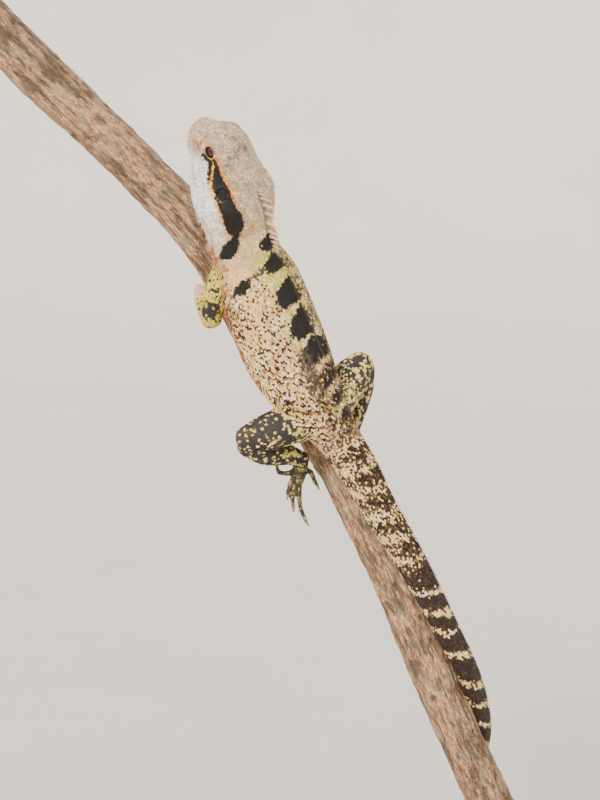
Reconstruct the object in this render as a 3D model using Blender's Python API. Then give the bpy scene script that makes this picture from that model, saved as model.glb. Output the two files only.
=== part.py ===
"""Eastern water dragon, life size, gripping a cut length of branch on a plain display stand.

Lengths are millimetres until a mesh is made. +Z is up, the viewer stands at -Y, and the
animal's head points up and to the left. The origin is the centre of the base's underside.
"""

import math
import random

import bmesh
import bpy
import numpy as np

MM = 0.001
GAP = 0.3  # clearance left between two pieces that touch
SEED = 11

# The direction from the model to someone who looks at it, ten degrees above level.
VIEW = np.array((0.0, -math.cos(math.radians(10)), math.sin(math.radians(10))))

# Stand
BASE_SIZE = (340.0, 280.0, 20.0)
BASE_EDGE_ROUND = 3.0
BASE_CORNER_ROUND = 22.0
ROD_RADIUS = 4.0
ROD_PLACES = ((97.0, 12.0, 290.0), (130.0, 12.0, 225.0))  # x, y and a height inside the branch

# Cut length of branch: its centre line from the upper end down, and its radius there
PERCH_PATH = (
    (-198.5, 12.0, 739.7, 14.6),
    (-157.3, 12.0, 696.8, 15.4),
    (-125.4, 12.0, 666.6, 14.8),
    (-99.1, 12.0, 640.7, 14.2),
    (-78.6, 12.0, 620.5, 14.4),
    (-54.9, 12.0, 588.6, 15.0),
    (-37.5, 12.0, 552.3, 14.8),
    (-20.9, 12.0, 520.8, 14.2),
    (-3.9, 12.0, 496.2, 14.0),
    (13.2, 12.0, 469.4, 14.4),
    (28.4, 12.0, 438.1, 14.4),
    (46.0, 12.0, 401.2, 14.4),
    (64.0, 12.0, 356.8, 13.8),
    (83.5, 12.0, 310.1, 13.4),
    (104.7, 12.0, 262.1, 13.8),
    (133.9, 12.0, 199.4, 15.0),
)
PERCH_SIDES = 14
PERCH_RINGS = 27

# Centre line of the animal from the tip of the snout to the tip of the tail, with the turn
# of its back away from the viewer, in degrees towards the viewer's right
BODY_PATH = (
    (-68.6, -58.7, 679.3, 42),
    (-63.0, -56.6, 670.6, 42),
    (-56.9, -54.0, 660.6, 42),
    (-51.6, -50.0, 648.9, 43),
    (-47.3, -46.0, 636.3, 44),
    (-44.1, -42.0, 625.0, 46),
    (-42.0, -37.5, 612.3, 48),
    (-39.3, -33.0, 600.4, 49),
    (-34.9, -29.5, 587.3, 50),
    (-29.7, -27.0, 571.9, 51),
    (-24.0, -25.5, 555.8, 52),
    (-17.0, -24.0, 539.2, 53),
    (-8.2, -22.0, 522.2, 54),
    (1.8, -19.0, 506.2, 56),
    (13.3, -15.5, 488.5, 60),
    (23.4, -13.5, 472.3, 66),
    (38.6, -11.5, 443.7, 72),
    (53.4, -8.5, 418.2, 76),
    (67.4, -5.0, 391.8, 79),
    (81.0, -0.5, 364.1, 84),
    (93.2, 6.0, 338.4, 90),
    (101.0, 15.0, 314.5, 96),
    (104.8, 25.0, 293.6, 104),
    (103.7, 32.5, 273.0, 112),
    (101.8, 36.5, 250.0, 118),
    (100.6, 37.5, 215.0, 122),
    (100.0, 36.5, 170.0, 124),
    (100.6, 34.5, 120.0, 124),
    (102.0, 33.0, 80.0, 124),
    (104.5, 32.0, 52.0, 124),
)

# Cross sections: distance from the snout, then half widths at the brow or upper flank, the
# cheek and the widest level, then the height above and the depth below that level. On the
# head the widest level is the line of the mouth.
HEAD_SECTIONS = (
    (2.4, 2.2, 3.2, 3.8, 2.4, 2.4),
    (3.4, 4.6, 5.8, 6.6, 4.4, 4.4),
    (5.6, 6.4, 8.0, 9.2, 7.0, 7.6),
    (10.0, 8.2, 9.8, 12.0, 10.4, 11.2),
    (16.0, 12.4, 11.6, 14.6, 14.2, 14.0),
    (21.0, 14.8, 13.0, 16.8, 17.0, 15.8),
    (27.0, 14.4, 14.8, 19.4, 18.4, 18.2),
    (34.0, 14.6, 17.6, 22.2, 18.6, 20.6),
    (42.0, 16.0, 20.8, 24.4, 18.8, 22.2),
    (50.0, 17.2, 22.2, 25.2, 19.2, 22.8),
    (57.0, 16.6, 21.4, 24.0, 19.4, 22.8),
)
# The rest is oval: distance, half width, height above, depth below
OVAL_SECTIONS = (
    (64.0, 22.6, 19.4, 22.0),
    (76.0, 21.8, 19.8, 20.6),
    (90.0, 23.2, 20.6, 19.8),
    (103.0, 26.0, 22.2, 20.6),
    (120.0, 28.0, 23.4, 21.4),
    (137.0, 29.0, 24.0, 22.0),
    (155.0, 28.6, 23.6, 21.6),
    (174.0, 25.0, 21.0, 19.0),
    (190.0, 19.6, 17.6, 16.0),
    (204.0, 16.2, 15.0, 13.8),
    (216.0, 13.6, 13.2, 12.4),
    (234.0, 11.8, 12.4, 11.6),
    (266.0, 10.0, 10.8, 10.2),
    (296.0, 8.8, 9.8, 9.0),
    (326.0, 7.7, 8.9, 8.0),
    (358.0, 6.9, 8.1, 7.2),
    (387.0, 6.2, 7.4, 6.6),
    (414.0, 5.7, 6.8, 6.0),
    (436.0, 5.3, 6.2, 5.6),
    (460.0, 4.9, 5.6, 5.1),
    (560.0, 3.0, 3.4, 3.0),
    (640.0, 1.6, 1.8, 1.6),
    (700.0, 0.7, 0.7, 0.7),
)
OVAL_UPPER = 0.69  # of the half width, at 0.72 of the height
OVAL_CHEEK = 0.925  # of the half width, at 0.38 of the height

# Where the long body is parted, as distances from the snout
HEAD_END = 60.0
HEAD_SIDES = 28
HEAD_RINGS = 14
HEAD_TIP_RINGS = (2.4, 3.4, 5.2)
HEAD_FULL_FROM = 8.0
BODY_NODES = (
    ("neck", 60.0, 92.0, 22, 8),
    ("torso_front", 92.0, 138.0, 22, 10),
    ("torso_rear", 138.0, 184.0, 22, 10),
    ("pelvis", 184.0, 218.0, 20, 9),
    ("tail_1", 218.0, 290.0, 14, 13),
    ("tail_2", 290.0, 372.0, 12, 15),
    ("tail_3", 372.0, 462.0, 10, 19),
    ("tail_4", 462.0, 560.0, 8, 11),
)
TAIL_TIP = ("tail_5", 560.0, 6, 10)
LIMBS_END = 300.0  # no limb reaches the body beyond this distance

# Head details, as distances from the snout, out from the middle and above the mouth line
MOUTH_END = 36.0
MOUTH_RISE = 1.6
MOUTH_LEVEL = 0.7  # share of the mouth that runs level
EYE_AT = (18.4, 10.3, 8.6)
EYE_RADIUS = 3.9
LID_RADIUS = 5.4
LID_SHAPE = (1.12, 0.92, 1.0)  # of the lid radius, along the head, up the face and outwards
LID_OPENING = (3.7, 2.3)  # half length along the head and half height
OPENING_DEPTH = 0.9  # of the lid radius
SOCKET_CLEARANCE = 0.4
EYE_OUTWARD = (0.92, 0.26, -0.3)  # how far an eye faces sideways, upwards and towards the tail
NOSTRIL_AT = (6.8, 7.4, 5.0)
NOSTRIL_RADII = (1.3, 1.0, 1.4)
EAR_AT = (41.0, 18.4, 9.4)
EAR_RADIUS = 3.1
EAR_CUP_LENGTH = 5.6  # of the cutter, which stands out past the skin
DRUM_THICKNESS = 1.0
EAR_OUTWARD = (0.86, 0.5)  # how far an ear faces sideways and upwards

# Limbs: centre lines and radii, from the body outwards
ARM_LEFT_UPPER = ((-49.0, -35.0, 597.0, 7.8), (-57.0, -35.5, 583.0, 7.4), (-61.5, -29.5, 563.0, 6.2))
ARM_LEFT_FORE = ((-61.5, -26.0, 562.0, 6.0), (-66.0, -14.0, 570.0, 5.6), (-70.0, 0.0, 577.0, 3.4))
ARM_RIGHT_UPPER = ((-28.0, -20.0, 594.0, 9.0), (-20.0, -6.0, 586.0, 8.4), (-15.0, 9.0, 569.0, 5.8))
ARM_RIGHT_FORE = ((-15.5, 10.0, 569.0, 5.6), (-22.0, 17.0, 578.0, 5.4), (-33.0, 23.0, 588.0, 3.4))
LEG_LEFT_THIGH = ((5.0, -18.0, 505.0, 9.5), (-10.0, -26.5, 502.0, 11.8), (-29.0, -29.0, 496.0, 10.8),
                  (-42.0, -27.0, 491.0, 7.8))
LEG_LEFT_SHANK = ((-41.0, -25.0, 488.0, 7.4), (-30.0, -19.0, 482.5, 8.4), (-18.0, -11.0, 479.0, 6.6),
                  (-9.0, -5.0, 475.0, 4.6))
LEG_RIGHT_THIGH = ((8.0, -12.0, 507.0, 12.0), (16.0, 2.0, 517.0, 12.0), (23.0, 11.0, 525.0, 10.8),
                   (27.0, 16.0, 530.0, 8.0))
LEG_RIGHT_SHANK = ((28.0, 20.0, 526.0, 7.6), (27.0, 25.0, 513.0, 8.0), (25.0, 28.0, 500.0, 6.4),
                   (22.0, 29.0, 486.0, 4.6))

# Digits that grip the branch: where each ends, as a distance down the branch and an angle
# round it from the viewer's side, positive to the right
HAND_LEFT = {"wrist": (-69.6, -1.0, 576.5), "palm": (222.0, -104.0), "radius": 3.6,
             "tips": ((206.0, -118.0), (209.0, -150.0), (221.0, -164.0), (233.0, -158.0), (240.0, -128.0))}
HAND_RIGHT = {"wrist": (-32.0, 23.0, 587.5), "palm": (208.0, 128.0), "radius": 3.6,
              "tips": ((222.0, 156.0), (209.0, 176.0), (197.0, 178.0), (188.0, 166.0), (186.0, 138.0))}
FOOT_RIGHT = {"wrist": (22.0, 29.0, 487.0), "palm": (346.0, 146.0), "radius": 4.4,
              "tips": ((338.0, 188.0), (352.0, 206.0), (368.0, 208.0), (386.0, 192.0), (378.0, 150.0))}
GRIP_SHARES = (0.34, 0.67, 0.92)  # where along its arc a gripping digit has its joints
GRIP_LIFT = 0.5  # clearance under a gripping digit
WRIST_SHARE = 0.92  # of the palm's radius
CLAW_REACH = 4.0  # degrees round the branch from a gripping digit's tip to its claw's
CLAW_LIFT = 0.8
CLAW_LENGTH = 3.4
CLAW_RADII = (1.1, 0.75, 0.28)
FINGER_RADII = (1.9, 1.35)
TOE_RADII = (2.1, 1.4)

# The left foot hangs beside the branch: its ankle, instep and each toe's own line
FOOT_LEFT_INSTEP = ((-8.6, -4.6, 476.0, 4.4), (-10.0, -3.6, 469.0, 4.6), (-10.6, -3.4, 462.0, 3.6))
FOOT_LEFT_TOES = (
    ((-12.0, -4.5, 468.0), (-17.5, -7.0, 466.6), (-23.0, -7.0, 467.5), (-24.0, -6.0, 472.0)),
    ((-12.0, -4.6, 465.0), (-15.4, -6.4, 461.0), (-17.0, -7.0, 456.0), (-17.4, -6.4, 452.6)),
    ((-11.0, -4.0, 463.0), (-13.4, -5.4, 457.0), (-14.6, -5.6, 449.6), (-14.0, -4.8, 444.6)),
    ((-10.4, -3.4, 463.0), (-10.6, -3.2, 452.0), (-9.6, -3.0, 444.0), (-6.0, -2.6, 435.6)),
    ((-8.6, -3.0, 468.0), (-3.6, -1.0, 466.0), (-1.6, 1.0, 461.0), (0.6, 3.0, 456.4)),
)

# Lips: a thin roll along each side of the line of the mouth
LIP_STOPS = (3.6, 5.6, 9.0, 13.0, 18.0, 24.0, 30.0, 35.0)
LIP_HEIGHTS = (1.2, -0.8)  # of the upper and the lower lip, from the line of the mouth
LIP_RADIUS = 0.8

# Crest along the line of the back: node, first and last distance, number of spines, height
# at both ends. It is tallest on the nape and low along the trunk and the tail.
CREST = (
    ("head", 51.6, 56.4, 2, 4.8, 7.6),
    ("neck", 62.4, 89.6, 9, 8.8, 3.6),
    ("torso_front", 94.0, 136.2, 14, 3.0, 2.6),
    ("torso_rear", 140.0, 182.0, 14, 2.6, 2.4),
    ("pelvis", 186.0, 216.0, 10, 2.4, 2.4),
    ("tail_1", 220.4, 287.6, 20, 2.6, 2.2),
    ("tail_2", 292.4, 369.6, 20, 2.2, 1.6),
)
CREST_LEAN = 40.0
SPINE_ROOT = 1.3  # how deep a spine's root is sunk
SPINE_LENGTH = (0.5, 0.15)  # half length of a root: a fixed part and a share of the height
SPINE_THICKNESS = (0.36, 0.09)
SPINE_CURL = 0.14  # of the height, how far the tip bends back

# Short spines on the jowl behind the ear: distance and place round the section on the left
JOWL_SPINES = ((51.4, 0.30), (53.0, 0.215), (54.4, 0.255), (54.8, 0.325), (55.8, 0.235), (56.0, 0.285))
JOWL_SPINE_HEIGHT = 2.3
JOWL_SPINE_LEAN = 40.0

COLOURS = {
    "skin_back": ((0.62, 0.50, 0.36), 0.62),
    "skin_head": ((0.60, 0.54, 0.50), 0.6),
    "skin_leg": ((0.08, 0.07, 0.05), 0.6),
    "skin_tail": ((0.10, 0.07, 0.05), 0.62),
    "eye": ((0.09, 0.02, 0.01), 0.12),
    "ear_drum": ((0.05, 0.04, 0.04), 0.4),
    "bark": ((0.42, 0.24, 0.14), 0.85),
    "base_wood": ((0.06, 0.035, 0.02), 0.4),
    "rod_steel": ((0.55, 0.55, 0.56), 0.3),
}


def clear_scene():
    for obj in list(bpy.data.objects):
        bpy.data.objects.remove(obj, do_unlink=True)


def unit(vector):
    vector = np.asarray(vector, float)
    return vector / np.linalg.norm(vector)


def smooth(knots, values, at):
    """A curve through the values at the knots, with a slope at each from its neighbours."""
    knots = np.asarray(knots, float)
    values = np.asarray(values, float)
    slopes = np.gradient(values, knots, axis=0)
    at = float(np.clip(at, knots[0], knots[-1]))
    i = int(np.clip(np.searchsorted(knots, at) - 1, 0, len(knots) - 2))
    step = knots[i + 1] - knots[i]
    u = (at - knots[i]) / step
    return ((2 * u**3 - 3 * u**2 + 1) * values[i] + (u**3 - 2 * u**2 + u) * step * slopes[i]
            + (3 * u**2 - 2 * u**3) * values[i + 1] + (u**3 - u**2) * step * slopes[i + 1])


def distances(points):
    steps = np.linalg.norm(np.diff(np.asarray(points, float)[:, :3], axis=0), axis=1)
    return np.concatenate([[0.0], np.cumsum(steps)])


class Line:
    """A smooth line through points that carry further values, such as a turn or a radius."""

    def __init__(self, points):
        self.points = np.asarray(points, float)
        self.knots = distances(self.points)
        self.length = self.knots[-1]

    def at(self, s):
        return smooth(self.knots, self.points, s)

    def place(self, s):
        return self.at(s)[:3]

    def along(self, s):
        return unit(self.place(s + 0.5) - self.place(s - 0.5))


BODY = Line(BODY_PATH)
PERCH = Line(PERCH_PATH)


def facing(tangent, degrees):
    """The direction square to a line that is turned from the viewer towards the right."""
    front = unit(VIEW - tangent * float(VIEW @ tangent))
    right = unit(np.cross(tangent, front))
    if right[0] < 0:
        right = -right
    angle = math.radians(degrees)
    return math.cos(angle) * front + math.sin(angle) * right


def body_frame(s):
    """Centre, direction towards the tail, the animal's left and its back, at a distance."""
    tail = BODY.along(s)
    back = facing(tail, BODY.at(s)[3])
    return BODY.place(s), tail, np.cross(tail, back), back


def section_sizes():
    rows = [list(row) for row in HEAD_SECTIONS]
    for s, width, top, bottom in OVAL_SECTIONS:
        rows.append([s, width * OVAL_UPPER, width * OVAL_CHEEK, width, top, bottom])
    return np.array(rows)


SECTIONS = section_sizes()


def section(s, u):
    """Outline of the body at a distance: u runs 0 at the back, 0.25 left, 0.5 below, 0.75 right."""
    upper, cheek, widest, top, bottom = smooth(SECTIONS[:, 0], SECTIONS[:, 1:], s)
    half = [(0.0, top), (0.55 * upper, 0.925 * top), (upper, 0.72 * top), (cheek, 0.38 * top),
            (widest, 0.0), (0.893 * widest, -0.45 * bottom), (0.572 * widest, -0.82 * bottom),
            (0.28 * widest, -0.96 * bottom), (0.0, -bottom)]
    ring = np.array(half + [(-x, y) for x, y in half[-2:0:-1]])
    n = len(ring)
    place = (u % 1.0) * n
    i = int(place)
    f = place - i
    a, b, c, d = (ring[(i + k) % n] for k in (-1, 0, 1, 2))
    return 0.5 * (2 * b + (c - a) * f + (2 * a - 5 * b + 4 * c - d) * f**2 + (3 * b - a - 3 * c + d) * f**3)


def on_body(s, u, out=0.0):
    centre, _, left, back = body_frame(s)
    x, y = section(s, u)
    size = math.hypot(x, y)
    x, y = x * (1 + out / size), y * (1 + out / size)
    return centre + x * left + y * back


def on_head(along, side, up, hand):
    """A place on the head by its distance from the snout, out from the middle and up."""
    centre, _, left, back = body_frame(along)
    return centre + hand * side * left + up * back


def mesh_object(name, points, faces, material=None):
    mesh = bpy.data.meshes.new(name)
    mesh.from_pydata([tuple(p * MM) for p in points], [], faces)
    shape = bmesh.new()
    shape.from_mesh(mesh)
    bmesh.ops.recalc_face_normals(shape, faces=shape.faces)
    bmesh.ops.triangulate(shape, faces=shape.faces)
    shape.to_mesh(mesh)
    shape.free()
    obj = bpy.data.objects.new(name, mesh)
    bpy.context.scene.collection.objects.link(obj)
    if material:
        mesh.materials.append(material)
    mesh.shade_smooth()
    return obj


def lofted(name, rings, material=None):
    """A closed solid through rings of points, each with the same number of points."""
    count = len(rings[0])
    points = [p for ring in rings for p in ring]
    faces = [tuple(range(count))[::-1]]
    for i in range(len(rings) - 1):
        for j in range(count):
            k = (j + 1) % count
            faces.append((i * count + j, i * count + k, (i + 1) * count + k, (i + 1) * count + j))
    faces.append(tuple((len(rings) - 1) * count + j for j in range(count)))
    return mesh_object(name, points, faces, material)


def body_length(name, start, end, sides, rings, material=None, out=0.0):
    """One length of the long body, with flat ends square to its centre line."""
    stops = list(np.linspace(start, end, rings))
    if out:
        stops = [start - out, *stops, end + out]
    return lofted(name, [[on_body(s, j / sides, out) for j in range(sides)] for s in stops], material)


def round_line(name, points, sides=10, rings=9, out=0.0, material=None):
    """A round limb or digit along points with a radius each, with domed ends."""
    line = Line(points)
    first, last = line.at(0.0)[3] + out, line.at(line.length)[3] + out
    start, end = -0.7 * first, line.length + 0.7 * last
    stops = [start + (end - start) * (1 - math.cos(math.pi * k / (rings - 1))) / 2 for k in range(rings)]
    stops[0], stops[-1] = start + 0.04 * first, end - 0.04 * last
    made = []
    for s in stops:
        inside = float(np.clip(s, 0.0, line.length))
        tangent = line.along(min(max(inside, 0.6), line.length - 0.6))
        centre = line.place(inside) + tangent * (s - inside)
        radius = line.at(inside)[3] + out
        if s < 0:
            radius *= math.sqrt(max(1 - (s / start) ** 2, 0.0))
        if s > line.length:
            radius *= math.sqrt(max(1 - ((s - line.length) / (end - line.length)) ** 2, 0.0))
        across = facing(tangent, 0)
        over = np.cross(tangent, across)
        made.append([centre + radius * (math.cos(a) * across + math.sin(a) * over)
                     for a in (2 * math.pi * j / sides for j in range(sides))])
    return lofted(name, made, material)


def ball(name, centre, radii, axes, segments=16, rings=10, material=None):
    points = []
    for i in range(1, rings):
        lean = math.pi * i / rings
        for j in range(segments):
            turn = 2 * math.pi * j / segments
            part = (math.sin(lean) * math.cos(turn) * radii[0], math.sin(lean) * math.sin(turn) * radii[1],
                    math.cos(lean) * radii[2])
            points.append(centre + sum(v * axis for v, axis in zip(part, axes)))
    bands = [points[i * segments:(i + 1) * segments] for i in range(rings - 1)]
    return lofted(name, bands, material)


def keep_largest(obj):
    """Drops every closed surface of a mesh but the largest."""
    shape = bmesh.new()
    shape.from_mesh(obj.data)
    waiting = set(shape.verts)
    groups = []
    while waiting:
        edge_of_group = [waiting.pop()]
        group = set(edge_of_group)
        while edge_of_group:
            for edge in edge_of_group.pop().link_edges:
                for vert in edge.verts:
                    if vert not in group:
                        group.add(vert)
                        edge_of_group.append(vert)
        waiting -= group
        groups.append(group)
    groups.sort(key=span)
    for group in groups[:-1]:
        bmesh.ops.delete(shape, geom=list(group), context="VERTS")
    shape.to_mesh(obj.data)
    shape.free()
    return len(groups)


def span(group):
    places = np.array([vert.co for vert in group])
    return float(np.prod(places.max(axis=0) - places.min(axis=0)))


def settle(obj):
    """Replaces an object's mesh by the one its modifiers make."""
    graph = bpy.context.evaluated_depsgraph_get()
    mesh = bpy.data.meshes.new_from_object(obj.evaluated_get(graph))
    obj.modifiers.clear()
    obj.data = mesh
    keep_largest(obj)


def carve(obj, *cutters):
    for cutter in cutters:
        hold = obj.modifiers.new("cut_" + cutter.name, "BOOLEAN")
        hold.operation = "DIFFERENCE"
        hold.object = cutter
        settle(obj)


def common(obj, other):
    hold = obj.modifiers.new("common_" + other.name, "BOOLEAN")
    hold.operation = "INTERSECT"
    hold.object = other
    settle(obj)


def fuse(obj, pieces):
    """Joins closed pieces to an object by one union, and removes them."""
    if not pieces:
        return
    group = bpy.data.collections.new(obj.name + "_pieces")
    bpy.context.scene.collection.children.link(group)
    for piece in pieces:
        bpy.context.scene.collection.objects.unlink(piece)
        group.objects.link(piece)
    hold = obj.modifiers.new("join", "BOOLEAN")
    hold.operation = "UNION"
    hold.operand_type = "COLLECTION"
    hold.collection = group
    settle(obj)
    for piece in pieces:
        bpy.data.objects.remove(piece, do_unlink=True)
    bpy.data.collections.remove(group)


def discard(*objects):
    for obj in objects:
        bpy.data.objects.remove(obj, do_unlink=True)


def make_materials():
    made = {}
    for name, (colour, roughness) in COLOURS.items():
        material = bpy.data.materials.new(name)
        material.use_nodes = True
        shader = material.node_tree.nodes["Principled BSDF"]
        shader.inputs["Base Color"].default_value = (*colour, 1)
        shader.inputs["Roughness"].default_value = roughness
        shader.inputs["Metallic"].default_value = 1.0 if name == "rod_steel" else 0.0
        made[name] = material
    return made


def spine(name, s, u, height, lean):
    """One spine: a thin leaf that stands on the body and leans and bends towards the tail."""
    tail = body_frame(s)[1]
    foot = on_body(s, u)
    out = unit(on_body(s, u, 1.0) - foot)
    across = np.cross(out, tail)
    angle = math.radians(lean)
    rise = math.cos(angle) * out + math.sin(angle) * tail
    root = foot - out * SPINE_ROOT
    long = (SPINE_LENGTH[0] + SPINE_LENGTH[1] * height) * tail
    thick = (SPINE_THICKNESS[0] + SPINE_THICKNESS[1] * height) * across
    middle = root + rise * (SPINE_ROOT + 0.5 * height)
    tip = root + rise * (SPINE_ROOT + height) + SPINE_CURL * height * tail
    points = [root + long, root + thick, root - long, root - thick,
              middle + 0.5 * long, middle + 0.6 * thick, middle - 0.5 * long, middle - 0.6 * thick, tip]
    faces = [(3, 2, 1, 0)]
    for j in range(4):
        k = (j + 1) % 4
        faces.append((j, k, 4 + k, 4 + j))
        faces.append((4 + j, 4 + k, 8))
    return mesh_object(name, points, faces)


def spines_of(node):
    """The crest and jowl spines that stand on one node."""
    draw = random.Random(SEED)
    made = []
    for name, start, end, count, first, last in CREST:
        if name != node:
            continue
        for k in range(count):
            share = k / (count - 1)
            height = (first + (last - first) * share) * draw.uniform(0.86, 1.12)
            made.append(spine(f"spine_{k}", start + (end - start) * share, 0.0, height, CREST_LEAN))
    if node == "head":
        for s, u in JOWL_SPINES:
            for place in (u, 1.0 - u):
                height = JOWL_SPINE_HEIGHT * draw.uniform(0.8, 1.2)
                made.append(spine("jowl_spine", s, place, height, JOWL_SPINE_LEAN))
    return made


def perch_rings(out):
    """Rings round the branch, and a little past its sawn ends where it is grown."""
    made = []
    for s in np.linspace(-out / 2, PERCH.length + out / 2, PERCH_RINGS):
        inside = float(np.clip(s, 0, PERCH.length))
        tangent = PERCH.along(min(max(inside, 1.0), PERCH.length - 1.0))
        centre = PERCH.place(inside) + tangent * (s - inside)
        ring = []
        for j in range(PERCH_SIDES):
            angle = 2 * math.pi * j / PERCH_SIDES
            ring.append(centre + perch_radius(s, angle, out) * facing(tangent, math.degrees(angle)))
        made.append(ring)
    return made


def make_perch(material):
    return lofted("perch_branch", perch_rings(0.0), material), lofted("perch_grown", perch_rings(GAP))


def perch_radius(s, angle, out=0.0):
    """The branch's radius, with the shallow swellings of old wood."""
    radius = PERCH.at(s)[3]
    swell = 0.035 * math.sin(2 * angle + s / 45) + 0.025 * math.sin(3 * angle - s / 28)
    return radius * (1 + swell) + out


def on_perch(s, degrees, out):
    tangent = PERCH.along(s)
    return PERCH.place(s) + facing(tangent, degrees) * perch_radius(s, math.radians(degrees), out)


def make_head(materials):
    stops = np.concatenate([HEAD_TIP_RINGS, np.linspace(HEAD_FULL_FROM, HEAD_END - GAP / 2, HEAD_RINGS)])
    rings = [[on_body(s, j / HEAD_SIDES) for j in range(HEAD_SIDES)] for s in stops]
    head = lofted("head", rings, materials["skin_head"])
    jaw = head.copy()
    jaw.data = head.data.copy()
    jaw.name = "lower_jaw"
    bpy.context.scene.collection.objects.link(jaw)
    lids = []
    for hand in (1, -1):
        lid_radii = [LID_RADIUS * share for share in LID_SHAPE]
        lids.append(ball("lid", on_head(*EYE_AT, hand), lid_radii, eye_axes(hand), 14, 8))
    fuse(head, lids + make_lips(LIP_HEIGHTS[0]) + spines_of("head"))
    fuse(jaw, make_lips(LIP_HEIGHTS[1]))
    made = [head, jaw]
    for side, hand in (("left", 1), ("right", -1)):
        axes = eye_axes(hand)
        centre = on_head(*EYE_AT, hand)
        socket = ball("socket", centre, (EYE_RADIUS + SOCKET_CLEARANCE,) * 3, axes, 14, 8)
        opening = ball("opening", centre + axes[2] * LID_RADIUS,
                       (*LID_OPENING, LID_RADIUS * OPENING_DEPTH), axes, 12, 6)
        nostril = ball("nostril", on_head(*NOSTRIL_AT, hand), NOSTRIL_RADII, axes, 8, 4)
        ear_out = ear_axis(hand)
        drum_at = on_head(*EAR_AT, hand)
        ear_cup = disc("ear_cup", drum_at, ear_out, EAR_RADIUS + GAP, EAR_CUP_LENGTH, 12)
        carve(head, opening, socket, nostril, ear_cup)
        discard(socket, opening, nostril, ear_cup)
        eye = ball("eye_" + side, centre, (EYE_RADIUS,) * 3, axes, 14, 8, materials["eye"])
        floor_of_cup = drum_at - ear_out * EAR_CUP_LENGTH / 2
        drum = disc("ear_" + side, floor_of_cup + ear_out * (GAP + DRUM_THICKNESS / 2), ear_out,
                    EAR_RADIUS, DRUM_THICKNESS, 12, materials["ear_drum"])
        made += [eye, drum]
    lower = jaw_block("lower_block", 0.0)
    upper = jaw_block("upper_block", GAP)
    common(jaw, lower)
    carve(head, upper)
    discard(lower, upper)
    return made


def mouth_height(s):
    """The line of the mouth runs level and then rises to its corner."""
    return MOUTH_RISE * min(max((s / MOUTH_END - MOUTH_LEVEL) / (1 - MOUTH_LEVEL), 0.0), 1.0)


def round_at_height(s, height):
    """The place round the left half of the section at a height, found by halving."""
    low, high = 0.12, 0.38
    for _ in range(20):
        middle = (low + high) / 2
        if section(s, middle)[1] > height:
            low = middle
        else:
            high = middle
    return low


def make_lips(height):
    """A thin roll along each side of the mouth, at a height from its line."""
    made = []
    for mirror in (False, True):
        points = []
        for s in LIP_STOPS:
            u = round_at_height(s, mouth_height(s) + height)
            points.append((*on_body(s, 1.0 - u if mirror else u, -0.15), LIP_RADIUS))
        made.append(round_line("lip", points, 5, 9))
    return made


def eye_axes(hand):
    """Along the head, up the face and outwards, at an eye."""
    _, tail, left, back = body_frame(EYE_AT[0])
    out = unit(hand * left * EYE_OUTWARD[0] + back * EYE_OUTWARD[1] + tail * EYE_OUTWARD[2])
    along = unit(tail - out * float(tail @ out))
    return along, np.cross(out, along), out


def ear_axis(hand):
    _, _, left, back = body_frame(EAR_AT[0])
    return unit(hand * left * EAR_OUTWARD[0] + back * EAR_OUTWARD[1])


def disc(name, centre, axis, radius, depth, sides, material=None):
    across = unit(np.cross(axis, (0.3, 0.2, 0.9)))
    over = np.cross(axis, across)
    rings = []
    for shift in (-depth / 2, depth / 2):
        rings.append([centre + axis * shift + radius * (math.cos(a) * across + math.sin(a) * over)
                      for a in (2 * math.pi * j / sides for j in range(sides))])
    return lofted(name, rings, material)


def jaw_block(name, out):
    """The wedge that parts the lower jaw along the line of the mouth."""
    outline = ((-8.0, out), (MOUTH_END * MOUTH_LEVEL, out), (MOUTH_END + out, MOUTH_RISE + out),
               (MOUTH_END - 12.0 + out, -30.0), (-8.0, -30.0))
    rings = []
    for side in (-40.0, 40.0):
        ring = []
        for along, up in outline:
            centre, tail, left, back = body_frame(MOUTH_END / 2)
            ring.append(centre + tail * (along - MOUTH_END / 2) + left * side + back * up)
        rings.append(ring)
    return lofted(name, rings)


def digit(name, points, radii, claw_to):
    """One finger or toe with its claw, as closed pieces to be joined."""
    line = Line(points)
    ends = [(*p, radii[0] + (radii[1] - radii[0]) * k / line.length) for p, k in zip(points, line.knots)]
    flesh = round_line(name, ends, 6, 7)
    tip = np.array(points[-1])
    bend = (tip + claw_to) / 2 + facing(unit(claw_to - tip), 0) * 0.1
    line_of_claw = [(*place, radius) for place, radius in zip((tip, bend, claw_to), CLAW_RADII)]
    claw = round_line(name + "_claw", line_of_claw, 4, 4)
    return [flesh, claw]


def gripping(name, plan, radii, material, perch_grown, neighbour):
    """A hand or foot whose digits bend round the branch."""
    palm_s, palm_a = plan["palm"]
    palm = on_perch(palm_s, palm_a, plan["radius"] + GAP)
    wrist = np.array(plan["wrist"])
    pieces = []
    for k, (tip_s, tip_a) in enumerate(plan["tips"]):
        points = [palm]
        for share in GRIP_SHARES:
            lift = radii[0] + (radii[1] - radii[0]) * share + GRIP_LIFT
            points.append(on_perch(palm_s + (tip_s - palm_s) * share,
                                   palm_a + (tip_a - palm_a) * share, lift))
        claw_to = on_perch(tip_s, tip_a + math.copysign(CLAW_REACH, tip_a - palm_a), CLAW_LIFT)
        pieces += digit(f"{name}_digit_{k}", points, radii, claw_to)
    palm_line = ((*wrist, plan["radius"] * WRIST_SHARE), (*palm, plan["radius"]))
    whole = round_line(name, palm_line, 10, 8, material=material)
    fuse(whole, pieces)
    carve(whole, perch_grown, neighbour)
    return whole


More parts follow.
